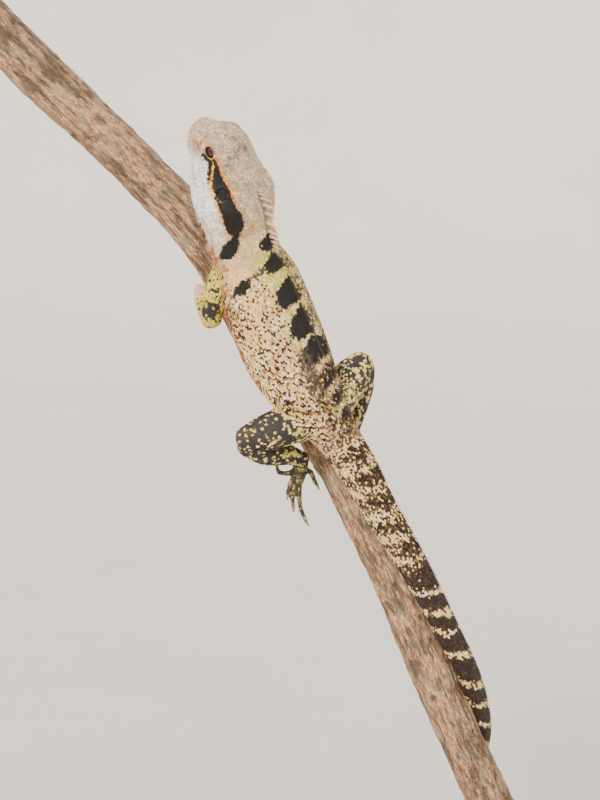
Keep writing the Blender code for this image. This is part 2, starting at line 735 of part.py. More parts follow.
def make_left_foot(material, perch_grown, neighbour):
    whole = round_line("foot_left", FOOT_LEFT_INSTEP, 10, 8, material=material)
    pieces = []
    for k, toe in enumerate(FOOT_LEFT_TOES):
        points = np.array(toe)
        onward = unit(points[-1] - points[-2])
        claw_to = points[-1] + onward * CLAW_LENGTH + VIEW * -0.6
        pieces += digit(f"toe_{k}", [tuple(p) for p in points], TOE_RADII, claw_to)
    fuse(whole, pieces)
    carve(whole, perch_grown, neighbour)
    return whole


def make_limb(names, plans, materials, cutters, sides=14):
    """Upper and lower length of a limb, each cut clear of what it grows from."""
    upper = round_line(names[0], plans[0], sides, 9, material=materials["skin_leg"])
    carve(upper, *cutters)
    upper_grown = round_line(names[0] + "_grown", plans[0], sides, 9, GAP)
    lower = round_line(names[1], plans[1], sides - 2, 9, material=materials["skin_leg"])
    carve(lower, upper_grown, *cutters)
    lower_grown = round_line(names[1] + "_grown", plans[1], sides - 2, 9, GAP)
    discard(upper_grown)
    return lower_grown


def make_stand(materials, perch_grown):
    width, depth, height = BASE_SIZE
    shape = bmesh.new()
    bmesh.ops.create_cube(shape, size=1.0)
    for vert in shape.verts:
        vert.co.x *= width * MM
        vert.co.y *= depth * MM
        vert.co.z = (vert.co.z + 0.5) * height * MM
    upright = [e for e in shape.edges if abs(e.verts[0].co.z - e.verts[1].co.z) > 0.5 * height * MM]
    bmesh.ops.bevel(shape, geom=upright, offset=BASE_CORNER_ROUND * MM, segments=6, affect="EDGES",
                    profile=0.5)
    top = [e for e in shape.edges if min(v.co.z for v in e.verts) > 0.9 * height * MM]
    bmesh.ops.bevel(shape, geom=top, offset=BASE_EDGE_ROUND * MM, segments=2, affect="EDGES", profile=0.5)
    bmesh.ops.triangulate(shape, faces=shape.faces)
    mesh = bpy.data.meshes.new("stand_base")
    shape.to_mesh(mesh)
    shape.free()
    mesh.materials.append(materials["base_wood"])
    base = bpy.data.objects.new("stand_base", mesh)
    bpy.context.scene.collection.objects.link(base)
    for k, (x, y, top_z) in enumerate(ROD_PLACES):
        low = height + GAP
        rod = disc(f"stand_rod_{k + 1}", np.array((x, y, (low + top_z) / 2)), np.array((0.0, 0.0, 1.0)),
                   ROD_RADIUS, top_z - low, 20, materials["rod_steel"])
        carve(rod, perch_grown)


def main():
    clear_scene()
    materials = make_materials()
    perch, perch_grown = make_perch(materials["bark"])
    make_head(materials)
    body_grown = []
    skin_of = {"neck": "skin_head", "torso_front": "skin_back", "torso_rear": "skin_back",
               "pelvis": "skin_back"}
    for name, start, end, sides, rings in BODY_NODES:
        span_of = (start + GAP / 2, end - GAP / 2, sides, rings)
        node = body_length(name, *span_of, materials[skin_of.get(name, "skin_tail")])
        fuse(node, spines_of(name))
        carve(node, perch_grown)
        if end < LIMBS_END:
            body_grown.append(body_length(name + "_grown", *span_of, out=GAP))
    name, start, sides, rings = TAIL_TIP
    body_length(name, start + GAP / 2, BODY.length - 0.5, sides, rings, materials["skin_tail"])

    body_cutters = (*body_grown, perch_grown)
    left_fore = make_limb(("arm_left_upper", "arm_left_fore"), (ARM_LEFT_UPPER, ARM_LEFT_FORE),
                          materials, body_cutters, 12)
    right_fore = make_limb(("arm_right_upper", "arm_right_fore"), (ARM_RIGHT_UPPER, ARM_RIGHT_FORE),
                           materials, body_cutters, 12)
    left_shank = make_limb(("leg_left_thigh", "leg_left_shank"), (LEG_LEFT_THIGH, LEG_LEFT_SHANK),
                           materials, body_cutters)
    right_shank = make_limb(("leg_right_thigh", "leg_right_shank"), (LEG_RIGHT_THIGH, LEG_RIGHT_SHANK),
                            materials, body_cutters)
    gripping("hand_left", HAND_LEFT, FINGER_RADII, materials["skin_leg"], perch_grown, left_fore)
    gripping("hand_right", HAND_RIGHT, FINGER_RADII, materials["skin_leg"], perch_grown, right_fore)
    gripping("foot_right", FOOT_RIGHT, TOE_RADII, materials["skin_leg"], perch_grown, right_shank)
    make_left_foot(materials["skin_leg"], perch_grown, left_shank)
    make_stand(materials, perch_grown)
    discard(perch_grown, *body_grown, left_fore, right_fore, left_shank, right_shank)


main()
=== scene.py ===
# %% [markdown]
# # Eastern water dragon on a branch
# A life-size museum model of an eastern water dragon, which grips a cut length of branch on a
# plain stand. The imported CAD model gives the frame. This lesson lays one skin over its flesh,
# covers the skin with scales, and then makes the crest, eyes, claws, branch and stand.

# %% Load the frame
import math
from collections import namedtuple

import bmesh
import bpy
import numpy as np
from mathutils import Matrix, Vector
from mathutils.bvhtree import BVHTree
from mathutils.kdtree import KDTree


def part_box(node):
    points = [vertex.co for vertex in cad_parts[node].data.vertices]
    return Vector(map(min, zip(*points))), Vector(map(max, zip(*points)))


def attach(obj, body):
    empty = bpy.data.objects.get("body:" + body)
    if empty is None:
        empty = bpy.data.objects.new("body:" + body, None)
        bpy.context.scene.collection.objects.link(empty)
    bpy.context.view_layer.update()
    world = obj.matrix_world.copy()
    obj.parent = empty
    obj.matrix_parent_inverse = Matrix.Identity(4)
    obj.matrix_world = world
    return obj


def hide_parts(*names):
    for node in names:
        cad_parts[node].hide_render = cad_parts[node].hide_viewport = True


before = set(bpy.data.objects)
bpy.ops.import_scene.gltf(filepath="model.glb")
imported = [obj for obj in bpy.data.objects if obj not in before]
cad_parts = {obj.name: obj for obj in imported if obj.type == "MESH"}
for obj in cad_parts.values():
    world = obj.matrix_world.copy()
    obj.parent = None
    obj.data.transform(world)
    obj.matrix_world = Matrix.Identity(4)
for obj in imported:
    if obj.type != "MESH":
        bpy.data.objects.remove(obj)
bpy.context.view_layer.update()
MM = 0.001
SEED = 11

# %% [markdown]
# ## Small helpers
# Colours are the sRGB hex values that a painter would pick, and one function turns them to the
# linear light that shaders need. Another adds a node with its settings, stops and links, so
# that a material reads as a short list.


# %% Colours and nodes
def linear(code):
    """An sRGB hex colour as linear red, green and blue."""
    parts = np.array([int(code[i:i + 2], 16) / 255 for i in (1, 3, 5)])
    return np.where(parts <= 0.04045, parts / 12.92, ((parts + 0.055) / 1.055) ** 2.4)


def wire(tree, node, links):
    """Links a node's inputs, each from a socket or from the first output of a node."""
    for socket, source in links.items():
        tree.links.new(getattr(source, "outputs", [source])[0], node.inputs[socket])


def add_node(tree, kind, links=None, values=None, stops=(), **settings):
    """Adds a node, a shader node where kind is a short name, with its options, values and links."""
    node = tree.nodes.new(kind if "Node" in kind else "ShaderNode" + kind)
    for name, value in settings.items():
        setattr(node, name, value)
    for socket, value in (values or {}).items():
        node.inputs[socket].default_value = value
    for k, (place, code) in enumerate(stops):
        ramp = node.color_ramp.elements
        stop = ramp[k] if k < len(ramp) else ramp.new(1.0)
        stop.position, stop.color = place, (*linear(code), 1)
    wire(tree, node, links or {})
    return node


def surface_material(name, roughness, **constants):
    """A material with one Principled shader, and the object's coordinates for its patterns."""
    material = bpy.data.materials.new(name)
    material.use_nodes = True
    tree = material.node_tree
    shader = tree.nodes["Principled BSDF"]
    for socket, value in {"Roughness": roughness, **constants}.items():
        shader.inputs[socket.replace("_", " ")].default_value = value
    return material, tree, shader, add_node(tree, "TexCoord").outputs["Object"]


print("linear mid grey", linear("#808080").round(3))

# %% [markdown]
# ## Sizes of the animal
# The same named sizes as the solids, in millimetres: a centre line from the snout to the tip of
# the tail with the turn of the back, and cross sections along it. They could be measured on the
# solids, but writing them again keeps the skin on them to a fraction of a millimetre.

# %% Lines and sections
CAMERA_TILT = 10
VIEW = np.array((0.0, -math.cos(math.radians(CAMERA_TILT)), math.sin(math.radians(CAMERA_TILT))))
BODY_PATH = (  # place, and the turn of the back in degrees
    (-68.6, -58.7, 679.3, 42), (-63, -56.6, 670.6, 42), (-56.9, -54, 660.6, 42), (-51.6, -50, 648.9, 43),
    (-47.3, -46, 636.3, 44), (-44.1, -42, 625, 46), (-42, -37.5, 612.3, 48), (-39.3, -33, 600.4, 49),
    (-34.9, -29.5, 587.3, 50), (-29.7, -27, 571.9, 51), (-24, -25.5, 555.8, 52), (-17, -24, 539.2, 53),
    (-8.2, -22, 522.2, 54), (1.8, -19, 506.2, 56), (13.3, -15.5, 488.5, 60), (23.4, -13.5, 472.3, 66),
    (38.6, -11.5, 443.7, 72), (53.4, -8.5, 418.2, 76), (67.4, -5, 391.8, 79), (81, -0.5, 364.1, 84),
    (93.2, 6, 338.4, 90), (101, 15, 314.5, 96), (104.8, 25, 293.6, 104), (103.7, 32.5, 273, 112),
    (101.8, 36.5, 250, 118), (100.6, 37.5, 215, 122), (100, 36.5, 170, 124), (100.6, 34.5, 120, 124),
    (102, 33, 80, 124), (104.5, 32, 52, 124))
PERCH_PATH = (  # place and radius
    (-198.5, 12, 739.7, 14.6), (-157.3, 12, 696.8, 15.4), (-125.4, 12, 666.6, 14.8), (-99.1, 12, 640.7, 14.2),
    (-78.6, 12, 620.5, 14.4), (-54.9, 12, 588.6, 15), (-37.5, 12, 552.3, 14.8), (-20.9, 12, 520.8, 14.2),
    (-3.9, 12, 496.2, 14), (13.2, 12, 469.4, 14.4), (28.4, 12, 438.1, 14.4), (46, 12, 401.2, 14.4),
    (64, 12, 356.8, 13.8), (83.5, 12, 310.1, 13.4), (104.7, 12, 262.1, 13.8), (133.9, 12, 199.4, 15))
HEAD_SECTIONS = (  # distance, half widths of the crown, cheek and widest place, height above and below
    (2.4, 2.2, 3.2, 3.8, 2.4, 2.4), (3.4, 4.6, 5.8, 6.6, 4.4, 4.4), (5.6, 6.4, 8, 9.2, 7, 7.6),
    (10, 8.2, 9.8, 12, 10.4, 11.2), (16, 12.4, 11.6, 14.6, 14.2, 14), (21, 14.8, 13, 16.8, 17, 15.8),
    (27, 14.4, 14.8, 19.4, 18.4, 18.2), (34, 14.6, 17.6, 22.2, 18.6, 20.6), (42, 16, 20.8, 24.4, 18.8, 22.2),
    (50, 17.2, 22.2, 25.2, 19.2, 22.8), (57, 16.6, 21.4, 24, 19.4, 22.8))
OVAL_SECTIONS = (  # distance, half width, height above and below
    (64, 22.6, 19.4, 22), (76, 21.8, 19.8, 20.6), (90, 23.2, 20.6, 19.8), (103, 26, 22.2, 20.6),
    (120, 28, 23.4, 21.4), (137, 29, 24, 22), (155, 28.6, 23.6, 21.6), (174, 25, 21, 19),
    (190, 19.6, 17.6, 16), (204, 16.2, 15, 13.8), (216, 13.6, 13.2, 12.4), (234, 11.8, 12.4, 11.6),
    (266, 10, 10.8, 10.2), (296, 8.8, 9.8, 9), (326, 7.7, 8.9, 8), (358, 6.9, 8.1, 7.2), (387, 6.2, 7.4, 6.6),
    (414, 5.7, 6.8, 6), (436, 5.3, 6.2, 5.6), (460, 4.9, 5.6, 5.1), (560, 3, 3.4, 3), (640, 1.6, 1.8, 1.6),
    (700, 0.7, 0.7, 0.7))
SECTIONS = np.array([*HEAD_SECTIONS, *((s, w * 0.69, w * 0.925, w, t, b) for s, w, t, b in OVAL_SECTIONS)])
CARVINGS = (  # depth, distance and half length, place round the body and half width: neck, nape, jowl, snout
    (4.8, 69.5, 5, 0.125, 0.06), (3.2, 86, 14, 0.14, 0.08), (-1.5, 53, 5.5, 0.14, 0.07), (2.5, 6, 4, 0, 0.17))
SNOUT, HEAD_END = 2.4, 60.0
MOUTH_END, MOUTH_RISE, MOUTH_LEVEL = 36.0, 1.6, 0.7
EYE_AT, EYE_RADIUS, LID_RADIUS, LID_OPENING = (18.4, 10.3, 8.6), 3.9, 5.4, np.array((3.5, 2.3))
NOSTRIL_AT, NOSTRIL_RADIUS = (6.8, 7.4, 5.0), 1.0
EAR_AT, EAR_RADIUS = (41.0, 18.4, 9.4), 3.1
SKIN_DEPTH = 0.25  # the skin lies this far inside the solids, and the scales fill the depth
print("sections", len(SECTIONS))

# %% Limbs, hands and feet
LIMBS = {  # places and radii
    "arm_left_upper": ((-49, -35, 597, 7.8), (-57, -35.5, 583, 7.4), (-61.5, -29.5, 563, 6.2)),
    "arm_left_fore": ((-61.5, -26, 562, 6), (-66, -14, 570, 5.6), (-70, 0, 577, 3.4)),
    "arm_right_upper": ((-28, -20, 594, 9), (-20, -6, 586, 8.4), (-15, 9, 569, 5.8)),
    "arm_right_fore": ((-15.5, 10, 569, 5.6), (-22, 17, 578, 5.4), (-33, 23, 588, 3.4)),
    "leg_left_thigh": (
        (5, -18, 505, 9.5), (-10, -26.5, 502, 11.8), (-29, -29, 496, 10.8), (-42, -27, 491, 7.8)),
    "leg_left_shank": (
        (-41, -25, 488, 7.4), (-30, -19, 482.5, 8.4), (-18, -11, 479, 6.6), (-9, -5, 475, 4.6)),
    "leg_right_thigh": ((8, -12, 507, 12), (16, 2, 517, 12), (23, 11, 525, 10.8), (27, 16, 530, 8)),
    "leg_right_shank": ((28, 20, 526, 7.6), (27, 25, 513, 8), (25, 28, 500, 6.4), (22, 29, 486, 4.6))}
GRIPS = {  # wrist, palm on the branch by distance and degrees, radius, and the five tips
    "hand_left": ((-69.6, -1, 576.5), (222, -104), 3.6,
                  ((206, -118), (209, -150), (221, -164), (233, -158), (240, -128))),
    "hand_right": ((-32, 23, 587.5), (208, 128), 3.6,
                   ((222, 156), (209, 176), (197, 178), (188, 166), (186, 138))),
    "foot_right": ((22, 29, 487), (346, 146), 4.4,
                   ((338, 188), (352, 206), (368, 208), (386, 192), (378, 150)))}
DIGIT_RADII = {"hand": (1.9, 1.35), "foot": (2.1, 1.4)}
CLAW_LENGTH = 3.4
INSTEP = ((-8.6, -4.6, 476, 4.4), (-10, -3.6, 469, 4.6), (-10.6, -3.4, 462, 3.6))
HANGING_TOES = (
    ((-12, -4.5, 468), (-17.5, -7, 466.6), (-23, -7, 467.5), (-24, -6, 472)),
    ((-12, -4.6, 465), (-15.4, -6.4, 461), (-17, -7, 456), (-17.4, -6.4, 452.6)),
    ((-11, -4, 463), (-13.4, -5.4, 457), (-14.6, -5.6, 449.6), (-14, -4.8, 444.6)),
    ((-10.4, -3.4, 463), (-10.6, -3.2, 452), (-9.6, -3, 444), (-6, -2.6, 435.6)),
    ((-8.6, -3, 468), (-3.6, -1, 466), (-1.6, 1, 461), (0.6, 3, 456.4)))
print("limbs", len(LIMBS), "gripping hands and feet", len(GRIPS))

# %% [markdown]
# ## Curves and surfaces
# A body is a tube whose outline changes along a line. One way to make it is to push vertices
# about by hand. Here a point on the skin is worked out from two numbers, the distance from the
# snout and the place round the body, so that the skin, the scales and the markings all agree.


# %% Smooth lines
def unit(vector):
    return vector / np.linalg.norm(vector, axis=-1, keepdims=True)


def hill(x, width):
    """1 at 0, and close to 0 beyond twice the width."""
    return np.exp(-((x / width) ** 2))


def smooth(knots, values, at):
    """A curve through the values at the knots, read at many places at once."""
    at = np.clip(np.asarray(at, float), knots[0], knots[-1])
    slopes = np.gradient(values, knots, axis=0)
    i = np.clip(np.searchsorted(knots, at) - 1, 0, len(knots) - 2)
    step = (knots[i + 1] - knots[i])[..., None]
    u = (at - knots[i])[..., None] / step
    return ((2 * u**3 - 3 * u**2 + 1) * values[i] + (u**3 - 2 * u**2 + u) * step * slopes[i]
            + (3 * u**2 - 2 * u**3) * values[i + 1] + (u**3 - u**2) * step * slopes[i + 1])


class Line:
    """A smooth line through points that carry further values, such as a turn or a radius."""

    def __init__(self, points):
        self.points = np.asarray(points, float)
        steps = np.linalg.norm(np.diff(self.points[:, :3], axis=0), axis=1)
        self.knots = np.concatenate([[0.0], np.cumsum(steps)])
        self.length = self.knots[-1]

    def at(self, s):
        return smooth(self.knots, self.points, s)

    def place(self, s):
        return self.at(s)[..., :3]

    def along(self, s):
        s = np.asarray(s, float)
        return unit(self.place(s + 0.5) - self.place(s - 0.5))


def facing(tangent, degrees):
    """The direction square to a line that is turned from the viewer towards the right."""
    front = unit(VIEW - tangent * (tangent @ VIEW)[..., None])
    right = unit(np.cross(tangent, front))
    right = np.where(right[..., :1] < 0, -right, right)
    angle = np.radians(degrees)[..., None]
    return np.cos(angle) * front + np.sin(angle) * right


BODY = Line(BODY_PATH)
PERCH = Line(PERCH_PATH)
print("snout to tail tip", round(BODY.length), "mm, branch", round(PERCH.length), "mm")


# %% The body's surface
def arrays(s, other):
    return np.broadcast_arrays(np.atleast_1d(np.asarray(s, float)), np.asarray(other, float))


def body_frame(s):
    """Centre, direction towards the tail, the animal's left and its back, at distances."""
    tail = BODY.along(s)
    back = facing(tail, BODY.at(s)[..., 3])
    return BODY.place(s), tail, np.cross(tail, back), back


def section(s, u):
    """Outline of the body: u runs 0 at the back, 0.25 left, 0.5 below, 0.75 right."""
    upper, cheek, widest, top, bottom = smooth(SECTIONS[:, 0], SECTIONS[:, 1:], s).T
    zero = np.zeros_like(top)
    half = [(zero, top), (0.55 * upper, 0.925 * top), (upper, 0.72 * top), (cheek, 0.38 * top),
            (widest, zero), (0.893 * widest, -0.45 * bottom), (0.572 * widest, -0.82 * bottom),
            (0.28 * widest, -0.96 * bottom), (zero, -bottom)]
    ring = np.array(half + [(-x, y) for x, y in half[-2:0:-1]])
    i, f = np.divmod((u % 1.0) * len(ring), 1.0)
    a, b, c, d = (ring[(i.astype(int) + k) % len(ring), :, np.arange(len(s))].T for k in (-1, 0, 1, 2))
    return 0.5 * (2 * b + (c - a) * f + (2 * a - 5 * b + 4 * c - d) * f**2 + (3 * b - a - 3 * c + d) * f**3)


def carve(s, u):
    """How far the surface lies inside the sections."""
    beside = np.minimum(u % 1.0, 1.0 - u % 1.0)
    return sum(depth * hill(s - at, length) * hill(beside - turn, width)
               for depth, at, length, turn, width in CARVINGS)


def on_body(s, u, out=0.0):
    """Points on the body for matching arrays of distance and place round it."""
    s, u = arrays(s, u)
    centre, _, left, back = body_frame(s)
    x, y = section(s, u)
    grow = 1 + (out - carve(s, u)) / np.hypot(x, y)
    return centre + (x * grow)[:, None] * left + (y * grow)[:, None] * back


print("chest", on_body(120.0, 0.25).round(1))


# %% Surfaces of limbs and branch
def on_limb(line, s, u, out=0.0):
    """Points on a round limb with domed ends."""
    s, u = arrays(s, u)
    first, last = line.points[0, 3], line.points[-1, 3]
    inside = np.clip(s, 0.0, line.length)
    tangent = line.along(np.clip(inside, 0.6, line.length - 0.6))
    radius = line.at(inside)[:, 3]
    for end, past in ((first, -s), (last, s - line.length)):
        dome = end * np.sqrt(np.clip(1 - (past / (0.7 * end)) ** 2, 0, 1))
        radius = np.where(past > 0, dome, radius)
    across = facing(tangent, np.zeros(len(s)))
    angle = (2 * np.pi * u)[:, None]
    way = np.cos(angle) * across + np.sin(angle) * np.cross(tangent, across)
    reach = np.maximum(radius + out, 0.05)[:, None]
    return line.place(inside) + tangent * (s - inside)[:, None] + way * reach


def perch_radius(s, angle):
    """The branch's radius, with the shallow swellings of old wood."""
    swell = 0.035 * np.sin(2 * angle + s / 45) + 0.025 * np.sin(3 * angle - s / 28)
    return PERCH.at(s)[..., 3] * (1 + swell)


def on_perch(s, degrees, out):
    s, degrees = arrays(s, degrees)
    reach = perch_radius(s, np.radians(degrees)) + out
    return PERCH.place(s) + facing(PERCH.along(s), degrees) * reach[:, None]


print("branch radius", perch_radius(np.array([220.0]), 0.0).round(1), "mm")

# %% [markdown]
# ## Tubes of flesh
# The real animal is one skin over many muscles. They could be modelled one by one, but the skin
# hides them. So a list of tubes describes it: the long body, eight lengths of limb, four palms
# and twenty digits, each with a way to find a point on it.

# %% List the tubes
Tube = namedtuple("Tube", "name kind start end surface girth")
CAP = 0.69  # how far a limb's domed end goes past its line, as a share of the radius


def limb_tube(name, kind, points):
    line = Line(points)
    radius = line.points[:, 3]
    return Tube(name, kind, -CAP * radius[0], line.length + CAP * radius[-1],
                lambda s, u, out=0.0: on_limb(line, s, u, out), 2 * math.pi * float(radius.max()))


def digit_tube(name, points, thick):
    line = Line(points)
    share = (line.knots / line.length)[:, None]
    return limb_tube(name, "digit", np.hstack([line.points, thick[0] + (thick[1] - thick[0]) * share]))


tubes = [Tube("body", "body", SNOUT, BODY.length - 0.5, on_body, 166.0)]
tubes += [limb_tube(name, "limb", points) for name, points in LIMBS.items()]
claw_lines = []
for name, (wrist, (palm_s, palm_a), radius, tips) in GRIPS.items():
    palm = on_perch(palm_s, palm_a, radius + 0.3)[0]
    tubes.append(limb_tube(name, "palm", ((*wrist, radius * 0.92), (*palm, radius))))
    thick = DIGIT_RADII[name[:4]]
    for k, (tip_s, tip_a) in enumerate(tips):
        share = np.array((0.34, 0.67, 0.92))
        lift = thick[0] + (thick[1] - thick[0]) * share + 0.3
        bends = on_perch(palm_s + (tip_s - palm_s) * share, palm_a + (tip_a - palm_a) * share, lift)
        tubes.append(digit_tube(f"{name}_{k}", [palm, *bends], thick))
        claw_lines.append((bends[-1], on_perch(tip_s, tip_a + math.copysign(4.0, tip_a - palm_a), 0.6)[0]))
tubes.append(limb_tube("foot_left", "palm", INSTEP))
for k, toe in enumerate(np.array(HANGING_TOES)):
    tubes.append(digit_tube(f"foot_left_{k}", toe, DIGIT_RADII["foot"]))
    claw_lines.append((toe[-1], toe[-1] + unit(toe[-1] - toe[-2]) * CLAW_LENGTH - VIEW * 0.6))
print("tubes", len(tubes), "claws", len(claw_lines))


# %% Places on the head, and the axes of eye and ear
def head_frame(s):
    return [v[0] for v in body_frame(np.array([s]))]


def on_head(place, hand):
    """A place by its distance from the snout, out from the middle and up; hand is 1 or -1."""
    centre, _, left, back = head_frame(place[0])
    return centre + hand * place[1] * left + place[2] * back


def eye_axes(hand):
    """Along the head, up the face and outwards, at an eye."""
    _, tail, left, back = head_frame(EYE_AT[0])
    out = unit(hand * left * 0.92 + back * 0.26 - tail * 0.3)
    along = unit(tail - out * float(tail @ out))
    return np.array((along, np.cross(out, along), out))


def from_eye(places, hand, more=0.0):
    """Places measured from an eye along its axes, and which are inside its almond opening."""
    local = (places - on_head(EYE_AT, hand)) @ eye_axes(hand).T
    near = (local[:, 2] > 0) & (np.linalg.norm(local, axis=1) < 8)
    return local, near & (np.linalg.norm(local[:, :2] / (LID_OPENING + more), axis=1) < 1)


def ear_axis(hand):
    _, _, left, back = head_frame(EAR_AT[0])
    return unit(hand * left * 0.86 + back * 0.5)


def mouth_height(s):
    return MOUTH_RISE * np.clip((s / MOUTH_END - MOUTH_LEVEL) / (1 - MOUTH_LEVEL), 0.0, 1.0)


print("left eye at", on_head(EYE_AT, 1).round(1))


# %% Mesh makers
def link_piece(name, mesh):
    piece = bpy.data.objects.new(name, mesh)
    bpy.context.scene.collection.objects.link(piece)
    return piece


def new_piece(name, points, faces, material=None, shell=True):
    """A mesh object from points in millimetres, with the faces of a closed shell turned outwards."""
    mesh = bpy.data.meshes.new(name)
    mesh.from_pydata((np.asarray(points) * MM).tolist(), [], faces)
    if shell:
        shape = bmesh.new()
        shape.from_mesh(mesh)
        bmesh.ops.recalc_face_normals(shape, faces=shape.faces)
        shape.to_mesh(mesh)
        shape.free()
    if material:
        mesh.materials.append(material)
    mesh.shade_smooth()
    return link_piece(name, mesh)


def grid_faces(rows, columns, start=0, closed=True):
    """Faces of a tube of points, with a face that closes each end."""
    i = np.arange(rows - 1)[:, None] * columns + start
    j = np.arange(columns)
    k = (j + 1) % columns
    faces = np.stack([i + j, i + k, i + columns + k, i + columns + j], -1).reshape(-1, 4).tolist()
    if closed:
        faces += [(j[::-1] + start).tolist(), (j + start + (rows - 1) * columns).tolist()]
    return faces


def loops(rings, across, over, sides):
    """The points of rings, each of a middle and a radius, that lie in two directions."""
    turn = np.arange(sides)[:, None] * 2 * np.pi / sides
    way = np.cos(turn) * across + np.sin(turn) * over
    return np.concatenate([middle + radius * way for middle, radius in rings])


def ball(lean, sides):
    """Points of a ball of radius 1, in rings that lean more and more from its pole."""
    lean, turn = np.meshgrid(lean, np.arange(sides) * 2 * math.pi / sides, indexing="ij")
    wide = np.sin(lean)
    return np.stack([wide * np.cos(turn), wide * np.sin(turn), np.cos(lean)], -1).reshape(-1, 3)


def store(mesh, name, values, kind="FLOAT"):
    """Keeps a value for each point of a mesh under a name."""
    key = {"FLOAT": "value", "FLOAT_VECTOR": "vector", "FLOAT_COLOR": "color"}[kind]
    values = np.ascontiguousarray(values, float).ravel()
    mesh.attributes.new(name, kind, "POINT").data.foreach_set(key, values)


def settle(piece):
    """Replaces a piece's mesh by the one its modifiers make, and removes them."""
    mesh = bpy.data.meshes.new_from_object(piece.evaluated_get(bpy.context.evaluated_depsgraph_get()))
    piece.modifiers.clear()
    piece.data = mesh
    return mesh


def triangles(piece):
    return sum(len(face.vertices) - 2 for face in piece.data.polygons)


print("faces of a tube of 3 rings", len(grid_faces(3, 12)))


# %% [markdown]
# ## One skin
# The tubes cross each other at the shoulders and hips. A Boolean union would leave sharp
# creases there, so the tubes are remeshed together into small cells, like wet clay pressed into
# one piece, and smoothed. The head, which holds the finest forms, is divided once more.

# %% Join and remesh the tubes
CELL = 1.14  # size of the cells in millimetres
LID_ROWS, LID_COLUMNS = 24, 32
LID_BALL = LID_RADIUS * np.array((1.1, 0.86, 0.93))
points, faces = [], []


def grid_on(stops, columns):
    """Distances and places round a tube, for stops along it and a number of columns."""
    s, u = np.meshgrid(stops, np.arange(columns) / columns, indexing="ij")
    return s.ravel(), u.ravel()


def add_shell(shell_points, rows, columns):
    faces.extend(grid_faces(rows, columns, sum(map(len, points))))
    points.append(shell_points)


for tube in tubes:
    rows, columns = max(int((tube.end - tube.start) / 0.9), 10), max(int(tube.girth), 14)
    stops = tube.start + (tube.end - tube.start) * (1 - np.cos(np.linspace(0, math.pi, rows))) / 2
    if tube.kind == "body":
        stops = np.concatenate([[SNOUT, 2.8, 3.4], np.linspace(4.2, tube.end, rows)])
    add_shell(tube.surface(*grid_on(stops, columns), -SKIN_DEPTH), len(stops), columns)
for hand in (1, -1):
    lids = ball(np.linspace(0.05, math.pi - 0.05, LID_ROWS), LID_COLUMNS) * (LID_BALL - SKIN_DEPTH)
    add_shell(on_head(EYE_AT, hand) + lids @ eye_axes(hand), LID_ROWS, LID_COLUMNS)
skin = new_piece("skin", np.concatenate(points), faces)
remesh = skin.modifiers.new("clay", "REMESH")
remesh.mode, remesh.voxel_size = "VOXEL", CELL * MM
settle(skin)
print("skin faces", len(skin.data.polygons))


# %% Divide the head once more
def read(items, key, width=3, kind=float):
    """The values of a mesh's points or edges as an array."""
    flat = np.empty(len(items) * width, kind)
    items.foreach_get(key, flat)
    return flat.reshape(-1, width)


def move_skin():
    skin.data.vertices.foreach_set("co", (spots * MM).ravel())
    skin.data.update()


HEAD_REACH, HEAD_BOTTOM = 27, 612  # the head lies this near to its line, and above this height
spots = read(skin.data.vertices, "co") / MM
head_line = BODY.place(np.linspace(0, 62, 40))[::3]
reach = np.min(np.linalg.norm(spots[:, None] - head_line, axis=-1), axis=1)
is_fine = (reach < HEAD_REACH) & (spots[:, 2] > HEAD_BOTTOM)
shape = bmesh.new()
shape.from_mesh(skin.data)
edges = [e for e in shape.edges if is_fine[e.verts[0].index] and is_fine[e.verts[1].index]]
bmesh.ops.subdivide_edges(shape, edges=edges, cuts=1, use_grid_fill=True)
bmesh.ops.triangulate(shape, faces=shape.faces)
shape.to_mesh(skin.data)
shape.free()
print("skin triangles", len(skin.data.polygons))

# %% Smooth the skin
ends = read(skin.data.edges, "vertices", 2, int)
spots = read(skin.data.vertices, "co") / MM
for share in (0.6, -0.52) * 3:
    total, count = np.zeros_like(spots), np.zeros(len(spots))
    for a, b in (ends.T, ends.T[::-1]):
        np.add.at(total, a, spots[b])
        np.add.at(count, a, 1)
    spots += share * (total / count[:, None] - spots)
move_skin()
print("skin points", len(spots))

# %% [markdown]
# ## An address for each point of skin
# Markings and scales follow the animal, not the room. Painting them by hand on an unwrapped
# picture would do that too. Here each point of the skin looks up the nearest sample of the
# tubes and takes its tube, its distance and its place round it, so they can be worked out.

# %% Sample the tubes
samples = []
for k, tube in enumerate(tubes):
    rows = max(int((tube.end - tube.start) / 0.7), 6)
    s, u = grid_on(np.linspace(tube.start, tube.end, rows), max(int(tube.girth), 12))
    samples.append(np.column_stack([tube.surface(s, u, -SKIN_DEPTH), np.full(len(s), k), s, u]))
samples = np.concatenate(samples)
tree = KDTree(len(samples))
for k, point in enumerate(samples[:, :3].tolist()):
    tree.insert(point, k)
tree.balance()
skin_tube, skin_s, skin_u = samples[[tree.find(point)[1] for point in spots.tolist()], 3:].T
print("samples", len(samples))

# %% [markdown]
# ## Forms of the head
# The mouth is a fine groove between two swollen lips, the nostril a pit with a rim, and the ear
# a shallow cup that holds the drum. A sculptor would cut them with a small tool. Here each is a
# small push along the skin's normal, so that they stay in one skin without seams.

